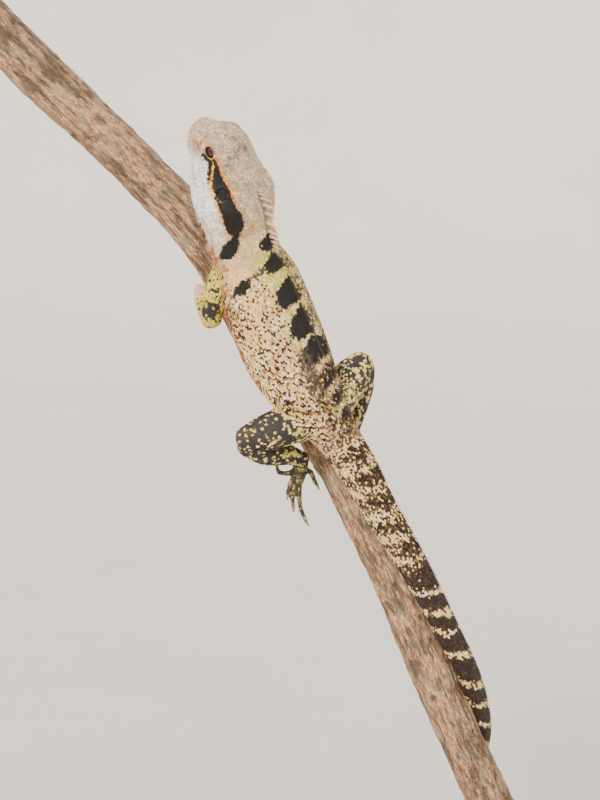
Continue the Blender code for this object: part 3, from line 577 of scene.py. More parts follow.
# %% Sculpt mouth, brow, nostrils, ears and eye sockets
which = np.flatnonzero((skin_tube == 0) & (skin_s < HEAD_END + 4))
centre, tail, left, back = body_frame(skin_s[which])
side, up, ahead = (((spots[which] - centre) * way).sum(-1) for way in (left, back, tail))
along = skin_s[which] + ahead
lip = up - mouth_height(along)
brow = 0.72 * smooth(SECTIONS[:, 0], SECTIONS[:, 1:], along)[:, 3]
brow_ends = np.clip((along - 3) / 4, 0, 1) * np.clip((33 - along) / 6, 0, 1)
push = np.clip((MOUTH_END - along) / 2, 0, 1) * (0.34 * hill(np.abs(lip) - 1.5, 0.8) - 0.8 * hill(lip, 0.5))
push += 0.35 * brow_ends * (np.abs(side) > 5) * hill(up - brow, 1.3)
push += 0.9 * hill(along - 11.5, 3.6) * hill(up - brow, 2.0) * (np.abs(side) > 3)
push += 0.5 * hill(along - 47, 9) * hill(up + 5, 5)
for hand in (1, -1):
    nostril = np.linalg.norm(spots[which] - on_head(NOSTRIL_AT, hand), axis=1)
    ear = np.hypot(along - EAR_AT[0], up - EAR_AT[2]) + 99 * (side * hand < 0)
    for gap, size, depth in ((nostril, NOSTRIL_RADIUS, 1.3), (ear, EAR_RADIUS, 1.5)):
        push += 0.35 * hill(gap - size - 0.7, 0.55) - depth / (1 + np.exp((gap - size) / 0.22))
spots[which] += read(skin.data.vertex_normals, "vector")[which] * push[:, None]
for hand in (1, -1):  # the skin inside the lids is tucked behind the eye
    local, inside = from_eye(spots, hand)
    local[inside, 2] = np.minimum(local[inside, 2], 1.2)
    spots[inside] = on_head(EYE_AT, hand) + local[inside] @ eye_axes(hand)
move_skin()
print("head points", len(which), "deepest push", round(float(push.min()), 2), "mm")

# %% [markdown]
# ## Noise for the markings
# The markings need the small irregularities of a living pattern. The shader's own noise could
# give them, but then skin and scales couldn't share whole spots. So two plain functions work
# them out for many points at once: a soft random field, and cells whose middles make spots.


# %% Random fields
def scramble(cells, seed):
    """A random value from 0 to 1 for each whole-numbered cell."""
    x, y, z = np.moveaxis(cells, -1, 0)
    h = (x * 73856093 ^ y * 19349663 ^ z * 83492791 ^ seed * 40503) & 0xFFFFFFFF
    h = ((h ^ (h >> 15)) * 2246822519) & 0xFFFFFFFF
    h = ((h ^ (h >> 13)) * 3266489917) & 0xFFFFFFFF
    return ((h ^ (h >> 16)) & 0xFFFFFF) / float(0xFFFFFF)


def soft_noise(places, size, seed=0):
    """A smooth random field from 0 to 1 with lumps of a size in millimetres."""
    i = np.floor(places / size).astype(np.int64)
    f = places / size - i
    f = f * f * (3 - 2 * f)
    return sum(np.prod(np.where(corner, f, 1 - f), axis=1) * scramble(i + corner, seed)
               for corner in np.array(list(np.ndindex(2, 2, 2))))


def spot_cells(places, size, seed=0):
    """Distance to the nearest random spot, as a share of the cell size, and its own value."""
    i = np.floor(places / size).astype(np.int64)
    best, value = np.full(len(places), 9.0), np.zeros(len(places))
    for step in np.ndindex(3, 3, 3):
        cell = i + np.array(step) - 1
        middle = cell + np.stack([scramble(cell, seed + k) for k in (1, 2, 3)], -1)
        gap = np.linalg.norm(places / size - middle, axis=1)
        value = np.where(gap < best, scramble(cell, seed + 4), value)
        best = np.minimum(best, gap)
    return best, value


print("mean noise", soft_noise(spots[::50], 9.0).mean().round(2))

# %% [markdown]
# ## Markings
# On the real animal a black stripe runs from the eye over the ear to the neck, edged with
# yellow and orange. Dark blotches lie along the crest with yellow-green between them, the flank
# is cream with fine dark speckles in slanting rows, the chest is rust red, the legs are
# charcoal with cream spots and the tail has cream rings. A painter would lay them one over the
# other, and so does this: each is placed in millimetres from the snout and round the skin from
# the crest, so that it is the same on the skin and on every scale. The finest real scales are
# under 1 mm wide. Specks are drawn at 1.1 mm, a little coarser, so that each fills a scale.

# %% Places of the markings
STRIPE = (  # distance from the snout, distance from the crest, half width
    (17.6, 17, 0.6), (20, 17.6, 1.3), (24, 19.2, 1.7), (28, 20.4, 2.4), (32, 21, 3.4), (38, 21, 4.2),
    (44, 21.2, 4.3), (50, 21, 4.8), (57, 20.9, 5.6), (62, 21, 5), (66.5, 21, 2.6), (69, 21.4, 1.2),
    (71.5, 23, 3), (74.5, 26.2, 3.8), (77, 30, 3.4), (78.6, 33.6, 2.2))
STREAK = ((17.4, 20.6, 0.8), (19, 21.8, 1.4), (22, 23.2, 1.5), (27, 24.9, 1.3), (32, 27, 0.5))
SHOULDER_SPOT = ((96, 24.6, 1.4), (98, 28, 3), (100, 31.5, 3.2), (103, 37.9, 0.8))
SHOULDER_TRAIL = ((92.5, 10, 2.4), (94, 17, 2), (96, 24, 1.6))
BLOTCHES = np.array((  # distance, half length, how far down from the crest, slant of the lower corner
    (76, 5.4, 8.6, 1), (91, 7.8, 12, 3), (112.5, 9.2, 15, 4), (133, 9.8, 14.8, 5),
    (153, 9, 15.4, 1), (172, 6.6, 10, 2), (187, 5, 8, 1), (200, 4.6, 7, 0)))
TAIL_RINGS = np.array((
    217, 232, 250, 267, 283, 300, 324, 339, 353, 372, 395, 411, 428, 446, 464, 483, 503, 524, 546, 569, 593,
    618, 643))
TINTS = {name: linear(code) for name, code in {
    "head_top": "#C6B48F", "snout": "#CFB39D", "cheek": "#EFEDF0", "throat": "#F2E0C0", "black": "#1C1A19",
    "yellow": "#F2AE18", "orange": "#E08F3E", "pale_orange": "#EFB878", "purple": "#8A6564", "red": "#A63A1C",
    "pink": "#EFB892", "cream": "#F0C976", "white": "#FBF0D6", "green": "#C9BE50", "speck": "#2A1C14",
    "rust": "#7A4628", "neck": "#E2BE90", "grey": "#8C8468", "charcoal": "#353230", "spot": "#EFCF78",
    "hand": "#E6BBA8", "foot": "#4D4435", "tail_dark": "#2C211B", "tail_ring": "#E6C68E", "crest": "#E8BDAC",
    "cloud": "#57483B", "olive": "#C9BC4C", "umber": "#5F4530"}.items()}
SPECK = (1.15, 1.1)  # length and width of the smallest spot, about one scale
print("tints", len(TINTS))


# %% Tools to paint with
def fade(value, low, high):
    """0 below the low value, 1 above the high one, and soft between."""
    t = np.clip((value - low) / (high - low), 0, 1)
    return t * t * (3 - 2 * t)


def mix(colour, other, share):
    return colour + (other - colour) * np.clip(share, 0, 1)[..., None]


def inside_path(s, a, path):
    """How far inside a tapering path a place is, in millimetres; outside is below 0."""
    best = np.full(len(s), -99.0)
    for (s0, a0, w0), (s1, a1, w1) in zip(path[:-1], path[1:]):
        run = np.array((s1 - s0, a1 - a0))
        t = np.clip(((s - s0) * run[0] + (a - a0) * run[1]) / (run @ run), 0, 1)
        best = np.maximum(best, w0 + (w1 - w0) * t - np.hypot(s - s0 - t * run[0], a - a0 - t * run[1]))
    return best


class Canvas:
    """Points of skin or scales, and their colour as tints are laid over one another."""

    def __init__(self, ground, s, round_way, places):
        self.s, self.round_way, self.places = s, round_way, places
        self.colour = np.repeat(TINTS[ground][None], len(s), axis=0)

    def lay(self, tint, amount):
        self.colour = mix(self.colour, TINTS[tint], amount)

    def some(self, share, seed):
        """1 on a random share of the scales, and 0 on the others."""
        cell = np.stack([self.s / SPECK[0], self.round_way / SPECK[1], 0 * self.s], -1)
        return (scramble(np.floor(cell).astype(np.int64), seed) < share).astype(float)


trial = Canvas("cream", np.arange(900.0), np.zeros(900), None)
print("share of dark scales", trial.some(0.3, 20).mean().round(2), "where 0.3 is asked for")

# %% The girth of the body, for distances round the skin
GIRTH_STEP, GIRTH_PARTS = 2.0, 96
girth_s = np.arange(0.0, BODY.length, GIRTH_STEP)
grid_s, grid_u = np.meshgrid(girth_s, np.arange(GIRTH_PARTS + 1) / GIRTH_PARTS / 2, indexing="ij")
outline = np.stack(section(grid_s.ravel(), grid_u.ravel()), -1).reshape(*grid_s.shape, 2)
steps = np.linalg.norm(np.diff(outline, axis=1), axis=-1)
girth = np.hstack([np.zeros((len(girth_s), 1)), np.cumsum(steps, axis=1)])


def round_skin(s, u):
    """Distance round the skin from the crest, and the distance from the crest to the belly."""
    i = np.clip((s / GIRTH_STEP).astype(int), 0, len(girth_s) - 1)
    place = np.minimum(u % 1.0, 1.0 - u % 1.0) * 2 * GIRTH_PARTS
    j = np.clip(place.astype(int), 0, GIRTH_PARTS - 1)
    f = place - j
    return girth[i, j] * (1 - f) + girth[i, j + 1] * f, girth[i, -1]


print("half girth at the chest", round(float(girth[68, -1]), 1), "mm")


# %% Paint head and trunk
def paint_head(c, s, a, t, right, mild, rough):
    """Grey-brown above with purple-brown marks on the snout, near white on cheek and throat."""
    c.lay("snout", (1 - fade(s, 10, 26)) + 0.5 * fade(mild, 0.0, 0.3))
    c.lay("cheek", fade(a + 5 * mild + 3 * rough, 20, 28) * fade(s + a, 14, 26))
    c.lay("throat", np.maximum(fade(t, 0.66, 0.86), fade(a, 27, 33) * fade(s, 52, 64)))
    marks = fade(mild + rough, 0.16, 0.34) * (1 - fade(s, 18, 36)) * (1 - fade(a, 18, 24))
    c.lay("purple", 0.65 * marks + 0.2 * fade(rough, 0.2, 0.4))
    c.lay("purple", 0.9 * hill(s - 25.5, 2.8) * hill(a - 4.0, 3.6) * right)
    trunk = fade(s + 14 * mild, 54, 72)
    jowl = fade(a + 3 * mild, 25, 31) * (1 - fade(s, 72, 82))
    c.lay("neck", trunk * (1 - fade(t, 0.7, 0.9)) * (1 - 0.85 * jowl))
    c.lay("snout", 0.55 * trunk * fade(rough - mild, 0.1, 0.4))
    fine = soft_noise(c.places, 1.3, 50) + soft_noise(c.places, 3.4, 51) - 1
    c.colour = c.colour * (1 + 0.42 * fine * (s < 100))[:, None]


def paint_trunk(c, s, a, t, right, mild, rough):
    """Pink and cream flanks in fine dark speckles, yellow-green near the crest, a red belly edge, and painted
    shade on the right flank in grey and extra dark specks.
    """
    flank = fade(s + 10 * mild, 84, 102)
    kind = soft_noise(c.places, 4.0, 40) - 0.5 + 0.7 * (c.some(0.5, 41) - 0.5)
    c.lay("cream", flank)
    low = 0.5 * fade(a + 8 * rough, 30, 40)
    c.lay("pink", flank * fade(kind - low - 0.3 * fade(s, 150, 190), -0.12, 0.1))
    green = fade(s + 8 * mild, 74, 90) * (1 - fade(a + 12 * rough, 12, 21)) * (1 - 0.75 * fade(s, 142, 166))
    c.lay("green", green * (0.35 + 0.6 * c.some(0.75, 42)))
    chest = hill(s - 112, 13) * fade(t, 0.42, 0.56) * (1 - fade(t, 0.64, 0.7))
    # Painted shade: the right flank beside the crest is greyed and given extra dark specks over its real
    # speckles
    right_flank_painted_shade = right * (1 - fade(a, 22, 34)) * fade(s, 78, 92)
    c.lay("grey", 0.5 * chest + 0.45 * right_flank_painted_shade)
    c.lay("white", 0.8 * c.some(0.16 + 0.10 * fade(s, 118, 140), 43) * flank)
    c.lay("throat", fade(t, 0.80, 0.92) * (s < 84) + 0.5 * fade(t, 0.74, 0.9) * (s > 205))
    wide = 0.11 * hill(s - 86, 12) + 0.05 * hill(s - 120, 18)
    red = fade(s + 6 * mild, 70, 78) * (1 - fade(s, 150, 176)) * fade(t + wide + 0.2 * rough, 0.63, 0.68)
    c.lay("red", red * (0.5 + 0.4 * c.some(0.7, 49) - 0.15 * fade(t, 0.85, 1.0)))
    shoulder = hill(c.places[:, 0] + 59, 6) * hill(c.places[:, 2] - 584, 15) * (1 - right)
    shoulder = fade(shoulder + 0.3 * rough, 0.35, 0.6)
    c.lay("olive", shoulder * (0.6 + 0.35 * c.some(0.6, 52)))
    slant = 0.5 + 0.5 * np.cos((0.8 * s + 0.6 * a) * 2 * np.pi / 3.6 + 7 * mild)
    clusters = fade(soft_noise(c.places, 4.0, 9), 0.4, 0.75)
    share = (0.03 + 0.27 * fade(s, 98, 124) + 0.18 * fade(s, 136, 186)) * (0.25 + slant) + 0.2 * clusters
    share = share * (1 - 0.8 * fade(t, 0.62, 0.72)) * fade(s + 6 * mild, 88, 102) + 0.22 * chest
    # the extra dark specks on the right flank are painted shade
    dark = c.some(share * (1 - 0.55 * green) + 0.32 * right_flank_painted_shade + 0.22 * shoulder, 20)
    c.lay("rust", dark * 0.85)
    c.lay("speck", dark * c.some(0.62, 31))


def paint_blotches(c, s, a, right, mild, rough):
    """Ragged black saddles beside the crest, pale bars between them and a dark cloud behind."""
    ragged = 1.2 * rough + 1.1 * (c.some(0.5, 33) - 0.5)
    c.lay("umber", 0.65 * (1 - fade(a, 0.8, 2.2)) * fade(s, 46, 50) * (1 - fade(s, 76, 84)))
    back = (1 - fade(a, 14, 24)) * fade(s + 8 * mild, 146, 172) * (1 - fade(s, 206, 220))
    c.lay("rust", 0.55 * back * c.some(0.6, 36))
    c.lay("speck", back * c.some(0.42, 37))
    bars = (BLOTCHES[1:, 0] + BLOTCHES[:-1, 0]) / 2
    gap = np.min(np.abs(s[:, None] - bars - 0.2 * a[:, None]), axis=1)
    pale = hill(gap, 2.4) * (1 - fade(a, 5, 14)) * fade(s, 98, 108) * (1 - fade(s, 204, 212))
    c.lay("cream", 0.9 * pale * c.some(0.8, 38))
    c.lay("white", 0.7 * pale * c.some(0.35, 46))
    holes = c.some(0.3 * fade(s, 142, 176), 39)
    for middle, length, depth, lean in BLOTCHES:
        depth = depth * (1 - right * (0.78 - 0.5 * fade(s, 138, 152)))
        down = np.clip(a / depth, 0, 1.4)
        edge = length * (1 - 0.55 * down**1.6) - np.abs(s - middle - lean * down) + ragged
        inside = fade(edge, -0.3, 0.3) * (1 - fade(a + 2 * ragged, depth - 0.5, depth + 0.5))
        c.lay("black", inside * (1 - holes))
    cloud = hill(s - 164, 15) * hill(a - 14, 5) * (1 - right)
    c.lay("cloud", fade(cloud + 0.9 * rough, 0.40, 0.55) * (0.55 + 0.4 * c.some(0.6, 47)))


print("blotches", len(BLOTCHES), "down to", BLOTCHES[:, 2].max(), "mm from the crest")


# %% Paint stripe and tail
def paint_stripe(c, s, a, right, rough):
    """The black stripe from eye to neck with its yellow rims, the streak below the eye, the spot."""
    a = a - 3.0 * right
    c.round_way = a + 400 * right
    ragged = rough + 0.7 * (c.some(0.5, 33) - 0.5)
    trail = fade(inside_path(s, a, SHOULDER_TRAIL) + 1.6 * rough, -0.35, 0.35)
    c.lay("speck", trail * c.some(0.6, 34) * 0.9)
    c.lay("black", fade(inside_path(s, a, SHOULDER_SPOT) + 1.2 * ragged, -0.3, 0.3))
    edge = inside_path(s, a, STRIPE) + 0.5 * ragged
    rim = (1 - fade(-edge, 1.0, 2.4)) * (s > 17) * (s < 70)
    c.lay("pale_orange", rim * fade(a, 21, 24))
    c.lay("orange", rim * (1 - fade(a, 19, 22)) * (1 - fade(s, 44, 56)))
    c.lay("yellow", (1 - fade(-edge, 1.2, 2.6)) * fade(a, 20, 22) * (s > 18) * (1 - fade(s, 35, 42)))
    c.lay("yellow", 0.5 * hill(s - 15, 4) * hill(a - 13.5, 2.6))
    c.lay("black", fade(inside_path(s, a, STREAK) + 0.3 * rough, -0.3, 0.3))
    waist = hill(s - 68.5, 2.2) * hill(a - 21.5, 4)
    c.lay("black", np.maximum(fade(edge, -0.3, 0.3), waist * c.some(0.5, 35)))
    below_ear = np.hypot(s - EAR_AT[0], a - 21.6)
    c.lay("pale_orange", 0.45 * hill(below_ear - 3.9, 0.45) * (s > EAR_AT[0] + 2.4) * c.some(0.6, 48))


def paint_tail(c, s, a, t, right, mild, rough):
    """Broken dark and cream rings, ragged by whole scales, that grow darker towards the tip."""
    c.round_way = a + 400 * right
    gone_dark = fade(s + 14 * mild, 286, 330)
    lean = 9.0 * (t - 0.33) * (1 - fade(s, 470, 520))
    gap = np.min(np.abs((s + lean + 3.0 * mild + 2.4 * rough)[:, None] - TAIL_RINGS), axis=1)
    near = hill(gap, 4.2 - 1.9 * gone_dark)
    at_root, at_tip = 0.08 + 0.44 * near + 0.24 * fade(t, 0.25, 0.6), 0.88 * near - 0.03
    pale = at_root * (1 - gone_dark) + at_tip * gone_dark
    ground = mix(TINTS["speck"], TINTS["tail_dark"], gone_dark)
    ground = mix(ground, TINTS["umber"], 0.8 * (1 - 0.6 * gone_dark) * c.some(0.4, 62))
    ring = (TINTS["cream"] + TINTS["tail_ring"]) / 2
    ring = mix(ring, TINTS["white"], 0.8 * c.some(0.3 * near, 63))
    c.colour = mix(c.colour, mix(ground, ring, c.some(pale, 61)), fade(s + 12 * mild, 196, 222))


def paint_body(s, u, places):
    a, half = round_skin(s, u)
    right = ((u % 1.0) > 0.5).astype(float)
    mild, rough = soft_noise(places, 9.0, 1) - 0.5, soft_noise(places, 2.2, 2) - 0.5
    c = Canvas("head_top", s, a + 400 * right, places)
    paint_head(c, s, a, a / half, right, mild, rough)
    paint_trunk(c, s, a, a / half, right, mild, rough)
    paint_blotches(c, s, a, right, mild, rough)
    paint_stripe(c, s, a, right, rough)
    paint_tail(c, s, a, a / half, right, mild, rough)
    return c.colour


print("tail rings", len(TAIL_RINGS), "and a stripe of", round(STRIPE[-1][0] - STRIPE[0][0]), "mm")


# %% Paint the limbs
def paint_limb(tube, s, u, places):
    """Charcoal with cream spots and broken bands on the legs, yellow-green on the upper arms."""
    rough = soft_noise(places, 2.0, 3) - 0.5
    share = (s - tube.start) / (tube.end - tube.start)
    c = Canvas("charcoal", s, u * tube.girth, places)
    c.lay("cloud", fade(soft_noise(places, 7.0, 5), 0.55, 0.85) * 0.5)
    if tube.name.startswith("arm"):
        elbow = hill(places[:, 0] + 61, 7) * hill(places[:, 2] - 569, 7)
        pale = 1 - c.some(0.2 + 0.3 * rough, 71)
        c.lay("olive", pale)
        c.lay("cream", pale * c.some(0.35, 72) * 0.8)
        c.lay("charcoal", fade(elbow + 0.5 * rough, 0.5, 0.62) * (1 - c.some(0.12, 77)))
        if tube.name.endswith("fore"):
            c.lay("hand", fade(share + 0.2 * rough, 0.5, 0.75))
    elif tube.kind == "limb":
        near_hip = fade(0.54 - share, -0.06, 0.18) * tube.name.endswith("thigh")
        many = 0.6 if "right" in tube.name else 0.3 * tube.name.endswith("shank")
        gap, value = spot_cells(places, 3.0, 7)
        spot = 1 - fade(gap + 0.3 * rough, 0.33 + 0.10 * many, 0.39 + 0.10 * many)
        rows = soft_noise(places * np.array((1.0, 1.0, 1.5)), 4.0, 78)
        spot = spot * (value > 0.12) * (rows > 0.40)
        pale = np.maximum(spot, c.some(0.05 + 0.12 * many + 0.42 * near_hip, 74))
        c.lay("spot", pale)
        c.lay("olive", pale * 0.75 * near_hip * c.some(0.6, 79))
        c.lay("white", pale * c.some(0.2, 76) * 0.7)
    elif tube.name.startswith("hand"):
        c.lay("hand", 1)
        c.lay("cloud", 0.5 * fade(soft_noise(places, 3.0, 8), 0.6, 0.8))
    else:
        band = fade(np.sin(share * 16.0 + 2 * rough), 0.55, 0.85)
        c.lay("foot", 0.85)
        c.lay("charcoal", 0.7 * c.some(0.3, 80))
        c.lay("spot", np.maximum(band * 0.2, 0.7 * c.some(0.09, 75)))
    return c.colour


def paint(tube_of, s, u, places):
    """The markings for any points of skin or scale, given the number of the tube of each."""
    colour = np.zeros((len(s), 3))
    for k, tube in enumerate(tubes):
        part = np.broadcast_to(tube_of == k, len(s))
        if part.any():
            args = (s[part], u[part], places[part])
            colour[part] = paint_limb(tube, *args) if k else paint_body(*args)
    return np.clip(colour, 0.002, 1.0)


def give_markings(mesh, colour):
    store(mesh, "marking", np.hstack([colour, np.ones((len(colour), 1))]), "FLOAT_COLOR")


skin_colour = paint(skin_tube, skin_s, skin_u, spots)
give_markings(skin.data, skin_colour)
print("mean skin colour", skin_colour.mean(axis=0).round(3))

# %% [markdown]
# ## Hide and keratin
# Reptile skin is soft hide between plates of keratin, a dry horn with a satin finish that is
# worn at each tip. Each scale is painted pale at its raised tip and dark at its root, partly for
# that wear and partly as a painted highlight and painted shade. Pictures of skin could be laid on
# both, but they would bring their own light and shadow with them. Here both read the same painted
# markings.


# %% Skin and scale materials
def marked_material(name, darker, lighter, roughness, grain, bump):
    """Markings that grow paler from root to tip, with a fine grain that breaks up the sheen."""
    material, tree, shader, place = surface_material(name, roughness, IOR=1.5, Specular_IOR_Level=0.32)
    marking, rise = (add_node(tree, "Attribute", attribute_name=key) for key in ("marking", "rise"))
    noise = add_node(tree, "TexNoise", {"Vector": place}, {"Scale": grain, "Detail": 3.0})
    # On the scales this root-to-tip shift is partly wear, and partly a painted highlight on the raised tip and
    # painted shade at the root
    shade = add_node(tree, "MapRange", {"Value": rise.outputs["Fac"]}, {"To Min": darker, "To Max": lighter})
    vary = add_node(tree, "MapRange", {"Value": noise},
                    {"From Min": 0.3, "From Max": 0.7, "To Min": 0.86, "To Max": 1.12})
    both = add_node(tree, "Math", {0: shade, 1: vary}, operation="MULTIPLY")
    tone = add_node(tree, "VectorMath", {0: marking, "Scale": both}, operation="SCALE")
    gloss = add_node(tree, "MapRange", {"Value": noise},
                     {"To Min": roughness - 0.08, "To Max": roughness + 0.1})
    dents = add_node(tree, "Bump", {"Height": noise}, {"Strength": bump, "Distance": 0.0002})
    wire(tree, shader, {"Base Color": tone, "Roughness": gloss, "Normal": dents})
    return material


# Soft hide is dull and a little darker, so the scales stand out against it
hide = marked_material("soft_reptile_hide", 0.72, 0.72, 0.62, 1400.0, 0.5)
# Dry keratin is satin and a little worn at each tip. Its raised tip is also painted paler as a highlight and
# its root darker as painted shade, so each scale catches a light of its own
keratin = marked_material("dry_keratin_scales", 0.84, 1.10, 0.5, 2600.0, 0.35)
# Horny spines are dark at the root and pale at the tip, so the crest looks like a comb
horn = marked_material("horny_crest_spines", 0.30, 1.35, 0.44, 1900.0, 0.3)
skin.data.materials.clear()
skin.data.materials.append(hide)
print("materials", hide.name, keratin.name, horn.name)

# %% [markdown]
# ## Scales
# The scales of the back and tail are small overlapping rhombs with a keel and a raised tip, and
# those of the head are low plates. Modelling each by hand is hopeless, and a bump map is flat
# at the outline. So one small solid of each kind is set by Geometry Nodes on points that carry
# its lie, size and colour, and the instances are realized into a plain mesh.


# %% The scale shapes
def template(name, points, faces, rises):
    """A small solid, with the place on it and its rise from root to tip as attributes."""
    points = np.array(points, float)
    piece = new_piece(name, points / MM, faces)
    store(piece.data, "local", points * (1, 1, 0), "FLOAT_VECTOR")
    store(piece.data, "rise", rises)
    piece.data.shade_flat()
    return piece


keeled = template(
    "keeled_scale",
    ((-0.55, 0, -0.14), (0, 0.5, -0.06), (0, -0.5, -0.06), (0.56, 0, -0.1), (-0.25, 0, 0.12), (0.62, 0, 0.27)),
    ((0, 4, 1), (4, 5, 1), (5, 3, 1), (0, 2, 4), (4, 2, 5), (5, 2, 3), (0, 1, 3), (0, 3, 2)),
    (0.0, 0.35, 0.35, 0.4, 0.6, 1.0))
six = loops((((0, 0, -0.12), 0.5), ((0, 0, 0.1), 0.41)), (1, 0, 0), (0, 1, 0), 6).tolist()
plate = template("head_plate", six + [(0, 0, 0.17), (0, 0, -0.12)],
                 [face for j, k in zip(range(6), (1, 2, 3, 4, 5, 0))
                  for face in ((j, k, 6 + k, 6 + j), (6 + j, 6 + k, 12), (k, j, 13))],
                 [0.1] * 6 + [0.7] * 6 + [0.9, 0.0])
print("triangles of a scale", triangles(keeled), "and of a plate", triangles(plate))

# %% The coat tree
CARRIED = ("lie", "face", "size", "patch", "local")
PATCH_SIZE = 0.003
SOCKETS = (("Points", "Geometry"), ("Shape", "Object"), ("Material", "Material"), ("Patch size", "Float"))
COAT = bpy.data.node_groups.new("coat", "GeometryNodeTree")
for name, kind in SOCKETS:
    COAT.interface.new_socket(name, in_out="INPUT", socket_type="NodeSocket" + kind)
COAT.interface.new_socket("Coat", in_out="OUTPUT", socket_type="NodeSocketGeometry")
given = add_node(COAT, "NodeGroupInput").outputs
lie, face, size, patch, local = (
    add_node(COAT, "GeometryNodeInputNamedAttribute", values={"Name": name}, data_type="FLOAT_VECTOR")
    for name in CARRIED)
shape = add_node(COAT, "GeometryNodeObjectInfo", {"Object": given["Shape"]}).outputs["Geometry"]
turn = add_node(COAT, "FunctionNodeAxesToRotation", {0: face, 1: lie}, primary_axis="Z", secondary_axis="X")
put = add_node(COAT, "GeometryNodeInstanceOnPoints",
               {"Points": given["Points"], "Instance": shape, "Rotation": turn, "Scale": size})
solid = add_node(COAT, "GeometryNodeRealizeInstances", {0: put})
shift = add_node(COAT, "VectorMath", {0: local, "Scale": given["Patch size"]}, operation="SCALE")
total = add_node(COAT, "VectorMath", {0: patch, 1: shift}, operation="ADD")
bake = add_node(COAT, "GeometryNodeStoreNamedAttribute", {"Geometry": solid, "Value": total},
                {"Name": "OFBake"}, data_type="FLOAT2", domain="CORNER")
dressed = add_node(COAT, "GeometryNodeSetMaterial", {"Geometry": bake, "Material": given["Material"]})
add_node(COAT, "NodeGroupOutput", {0: dressed})
print("coat tree nodes", len(COAT.nodes))


# %% Laying a coat
def lay_coat(name, places, lie, face, size, colour, patch, shape, material):
    """Makes one coat piece from points that carry their lie, face, size, colour and patch."""
    mesh = bpy.data.meshes.new(name)
    mesh.from_pydata((places * MM).tolist(), [], [])
    for key, values in zip(CARRIED, (lie, face, size * MM, patch)):
        store(mesh, key, values, "FLOAT_VECTOR")
    give_markings(mesh, np.clip(colour, 0, 1))
    piece = link_piece(name, mesh)
    coat = piece.modifiers.new("coat", "NODES")
    coat.node_group = COAT
    for socket, value in (("Shape", shape), ("Material", material), ("Patch size", PATCH_SIZE)):
        coat[COAT.interface.items_tree[socket].identifier] = value
    made = settle(piece)
    for key in CARRIED:
        if key in made.attributes:
            made.attributes.remove(made.attributes[key])
    made.uv_layers.active = made.uv_layers["OFBake"]
    print(name, len(places), "pieces", triangles(piece), "triangles")
    return piece


def patch_of(k, s, u):
    """The place of a scale on an unwrap of the skin: the body on the left, limbs in a grid."""
    share = (s - tubes[k].start) / (tubes[k].end - tubes[k].start)
    row, column = divmod(k - 1, 4)
    x, y = 0.505 + 0.12 * (column + 0.95 * (u % 1.0)), 0.01 + 0.12 * (row + 0.92 * share)
    if k == 0:
        x, y = 0.01 + 0.48 * (u % 1.0), 0.01 + 0.98 * share
    return np.column_stack([x, y, 0 * s])


coats = []
print("size of a patch", PATCH_SIZE)

# %% [markdown]
# ## Rows of scales
# Real scales stand in rows round the body, each row shifted by half a scale. Strewn at random
# they would look like gravel. So rows are laid along each tube at its own pitch, points that
# another tube covers are dropped, and the roots of the rest are moved on to the finished skin.
# The pitches are a little coarser than the animal's finest scales, so that each can be seen.

# %% Rows on the tubes
bvh = BVHTree.FromPolygons(spots.tolist(), [tuple(p.vertices) for p in skin.data.polygons])
draw = np.random.default_rng(SEED)
LOOP = 64  # points that measure the way round a tube
STEP_ALONG, STEP_ROUND = 0.4, 0.004  # how far apart two points are that give a slope


def rows_on(k, start, end, pitch_along, pitch_round):
    """Distances and places round a tube, for rows that are shifted by half a scale."""
    rows = []
    for i, s in enumerate(np.linspace(start, end, max(int((end - start) / pitch_along), 2))):
        loop = tubes[k].surface(np.full(LOOP, s), np.arange(LOOP) / LOOP)
        length = float(np.linalg.norm(loop - np.roll(loop, 1, axis=0), axis=1).sum())
        n = max(int(length / pitch_round), 5)
        rows.append((np.full(n, s), ((np.arange(n) + 0.5 * (i % 2)) / n) % 1.0))
    s, u = np.hstack(rows)
    stray = 0.17 if k == 0 and end <= HEAD_END else 0.08
    s = s + draw.normal(0, stray, len(s)) * pitch_along
    u = u + draw.normal(0, stray, len(s)) * pitch_round / length
    return np.clip(s, start, end), u % 1.0


def seat(k, s, u, reach=0.75):
    """Roots on the skin with their lie and outward face, and which of them lie open."""
    surface, low, high = tubes[k].surface, tubes[k].start, tubes[k].end
    root = surface(s, u, -SKIN_DEPTH)
    run = surface(np.clip(s + STEP_ALONG, low, high), u) - surface(np.clip(s - STEP_ALONG, low, high), u)
    face = unit(np.cross(run, surface(s, u + STEP_ROUND) - surface(s, u - STEP_ROUND)) + 1e-9)
    out = surface(s, u, 0.5) - root
    face = np.where((face * out).sum(-1, keepdims=True) < 0, -face, face)
    open_here = np.zeros(len(s), bool)
    for i, point in enumerate(root.tolist()):
        place, normal, _, gap = bvh.find_nearest(Vector(point))
        if gap < reach and normal.dot(Vector(face[i])) > 0.2:
            open_here[i] = True
            root[i] = place
            face[i] = (face[i] + np.array(normal)) / 2
    return root, unit(run + 1e-9), unit(face), open_here


def clear_of_face(root):
    """False inside the lids, the nostrils and the ear cups, where no scale grows."""
    keep = np.ones(len(root), bool)
    for hand in (1, -1):
        ear, axis = root - on_head(EAR_AT, hand), ear_axis(hand)
        across = np.linalg.norm(ear - (ear @ axis)[:, None] * axis, axis=1)
        keep &= ~from_eye(root, hand, 0.9)[1]
        keep &= np.linalg.norm(root - on_head(NOSTRIL_AT, hand), axis=1) > NOSTRIL_RADIUS + 0.7
        keep &= (across > EAR_RADIUS + 0.1) | (np.linalg.norm(ear, axis=1) > 8)
    return keep


print("skin points that scales are seated on", len(spots))

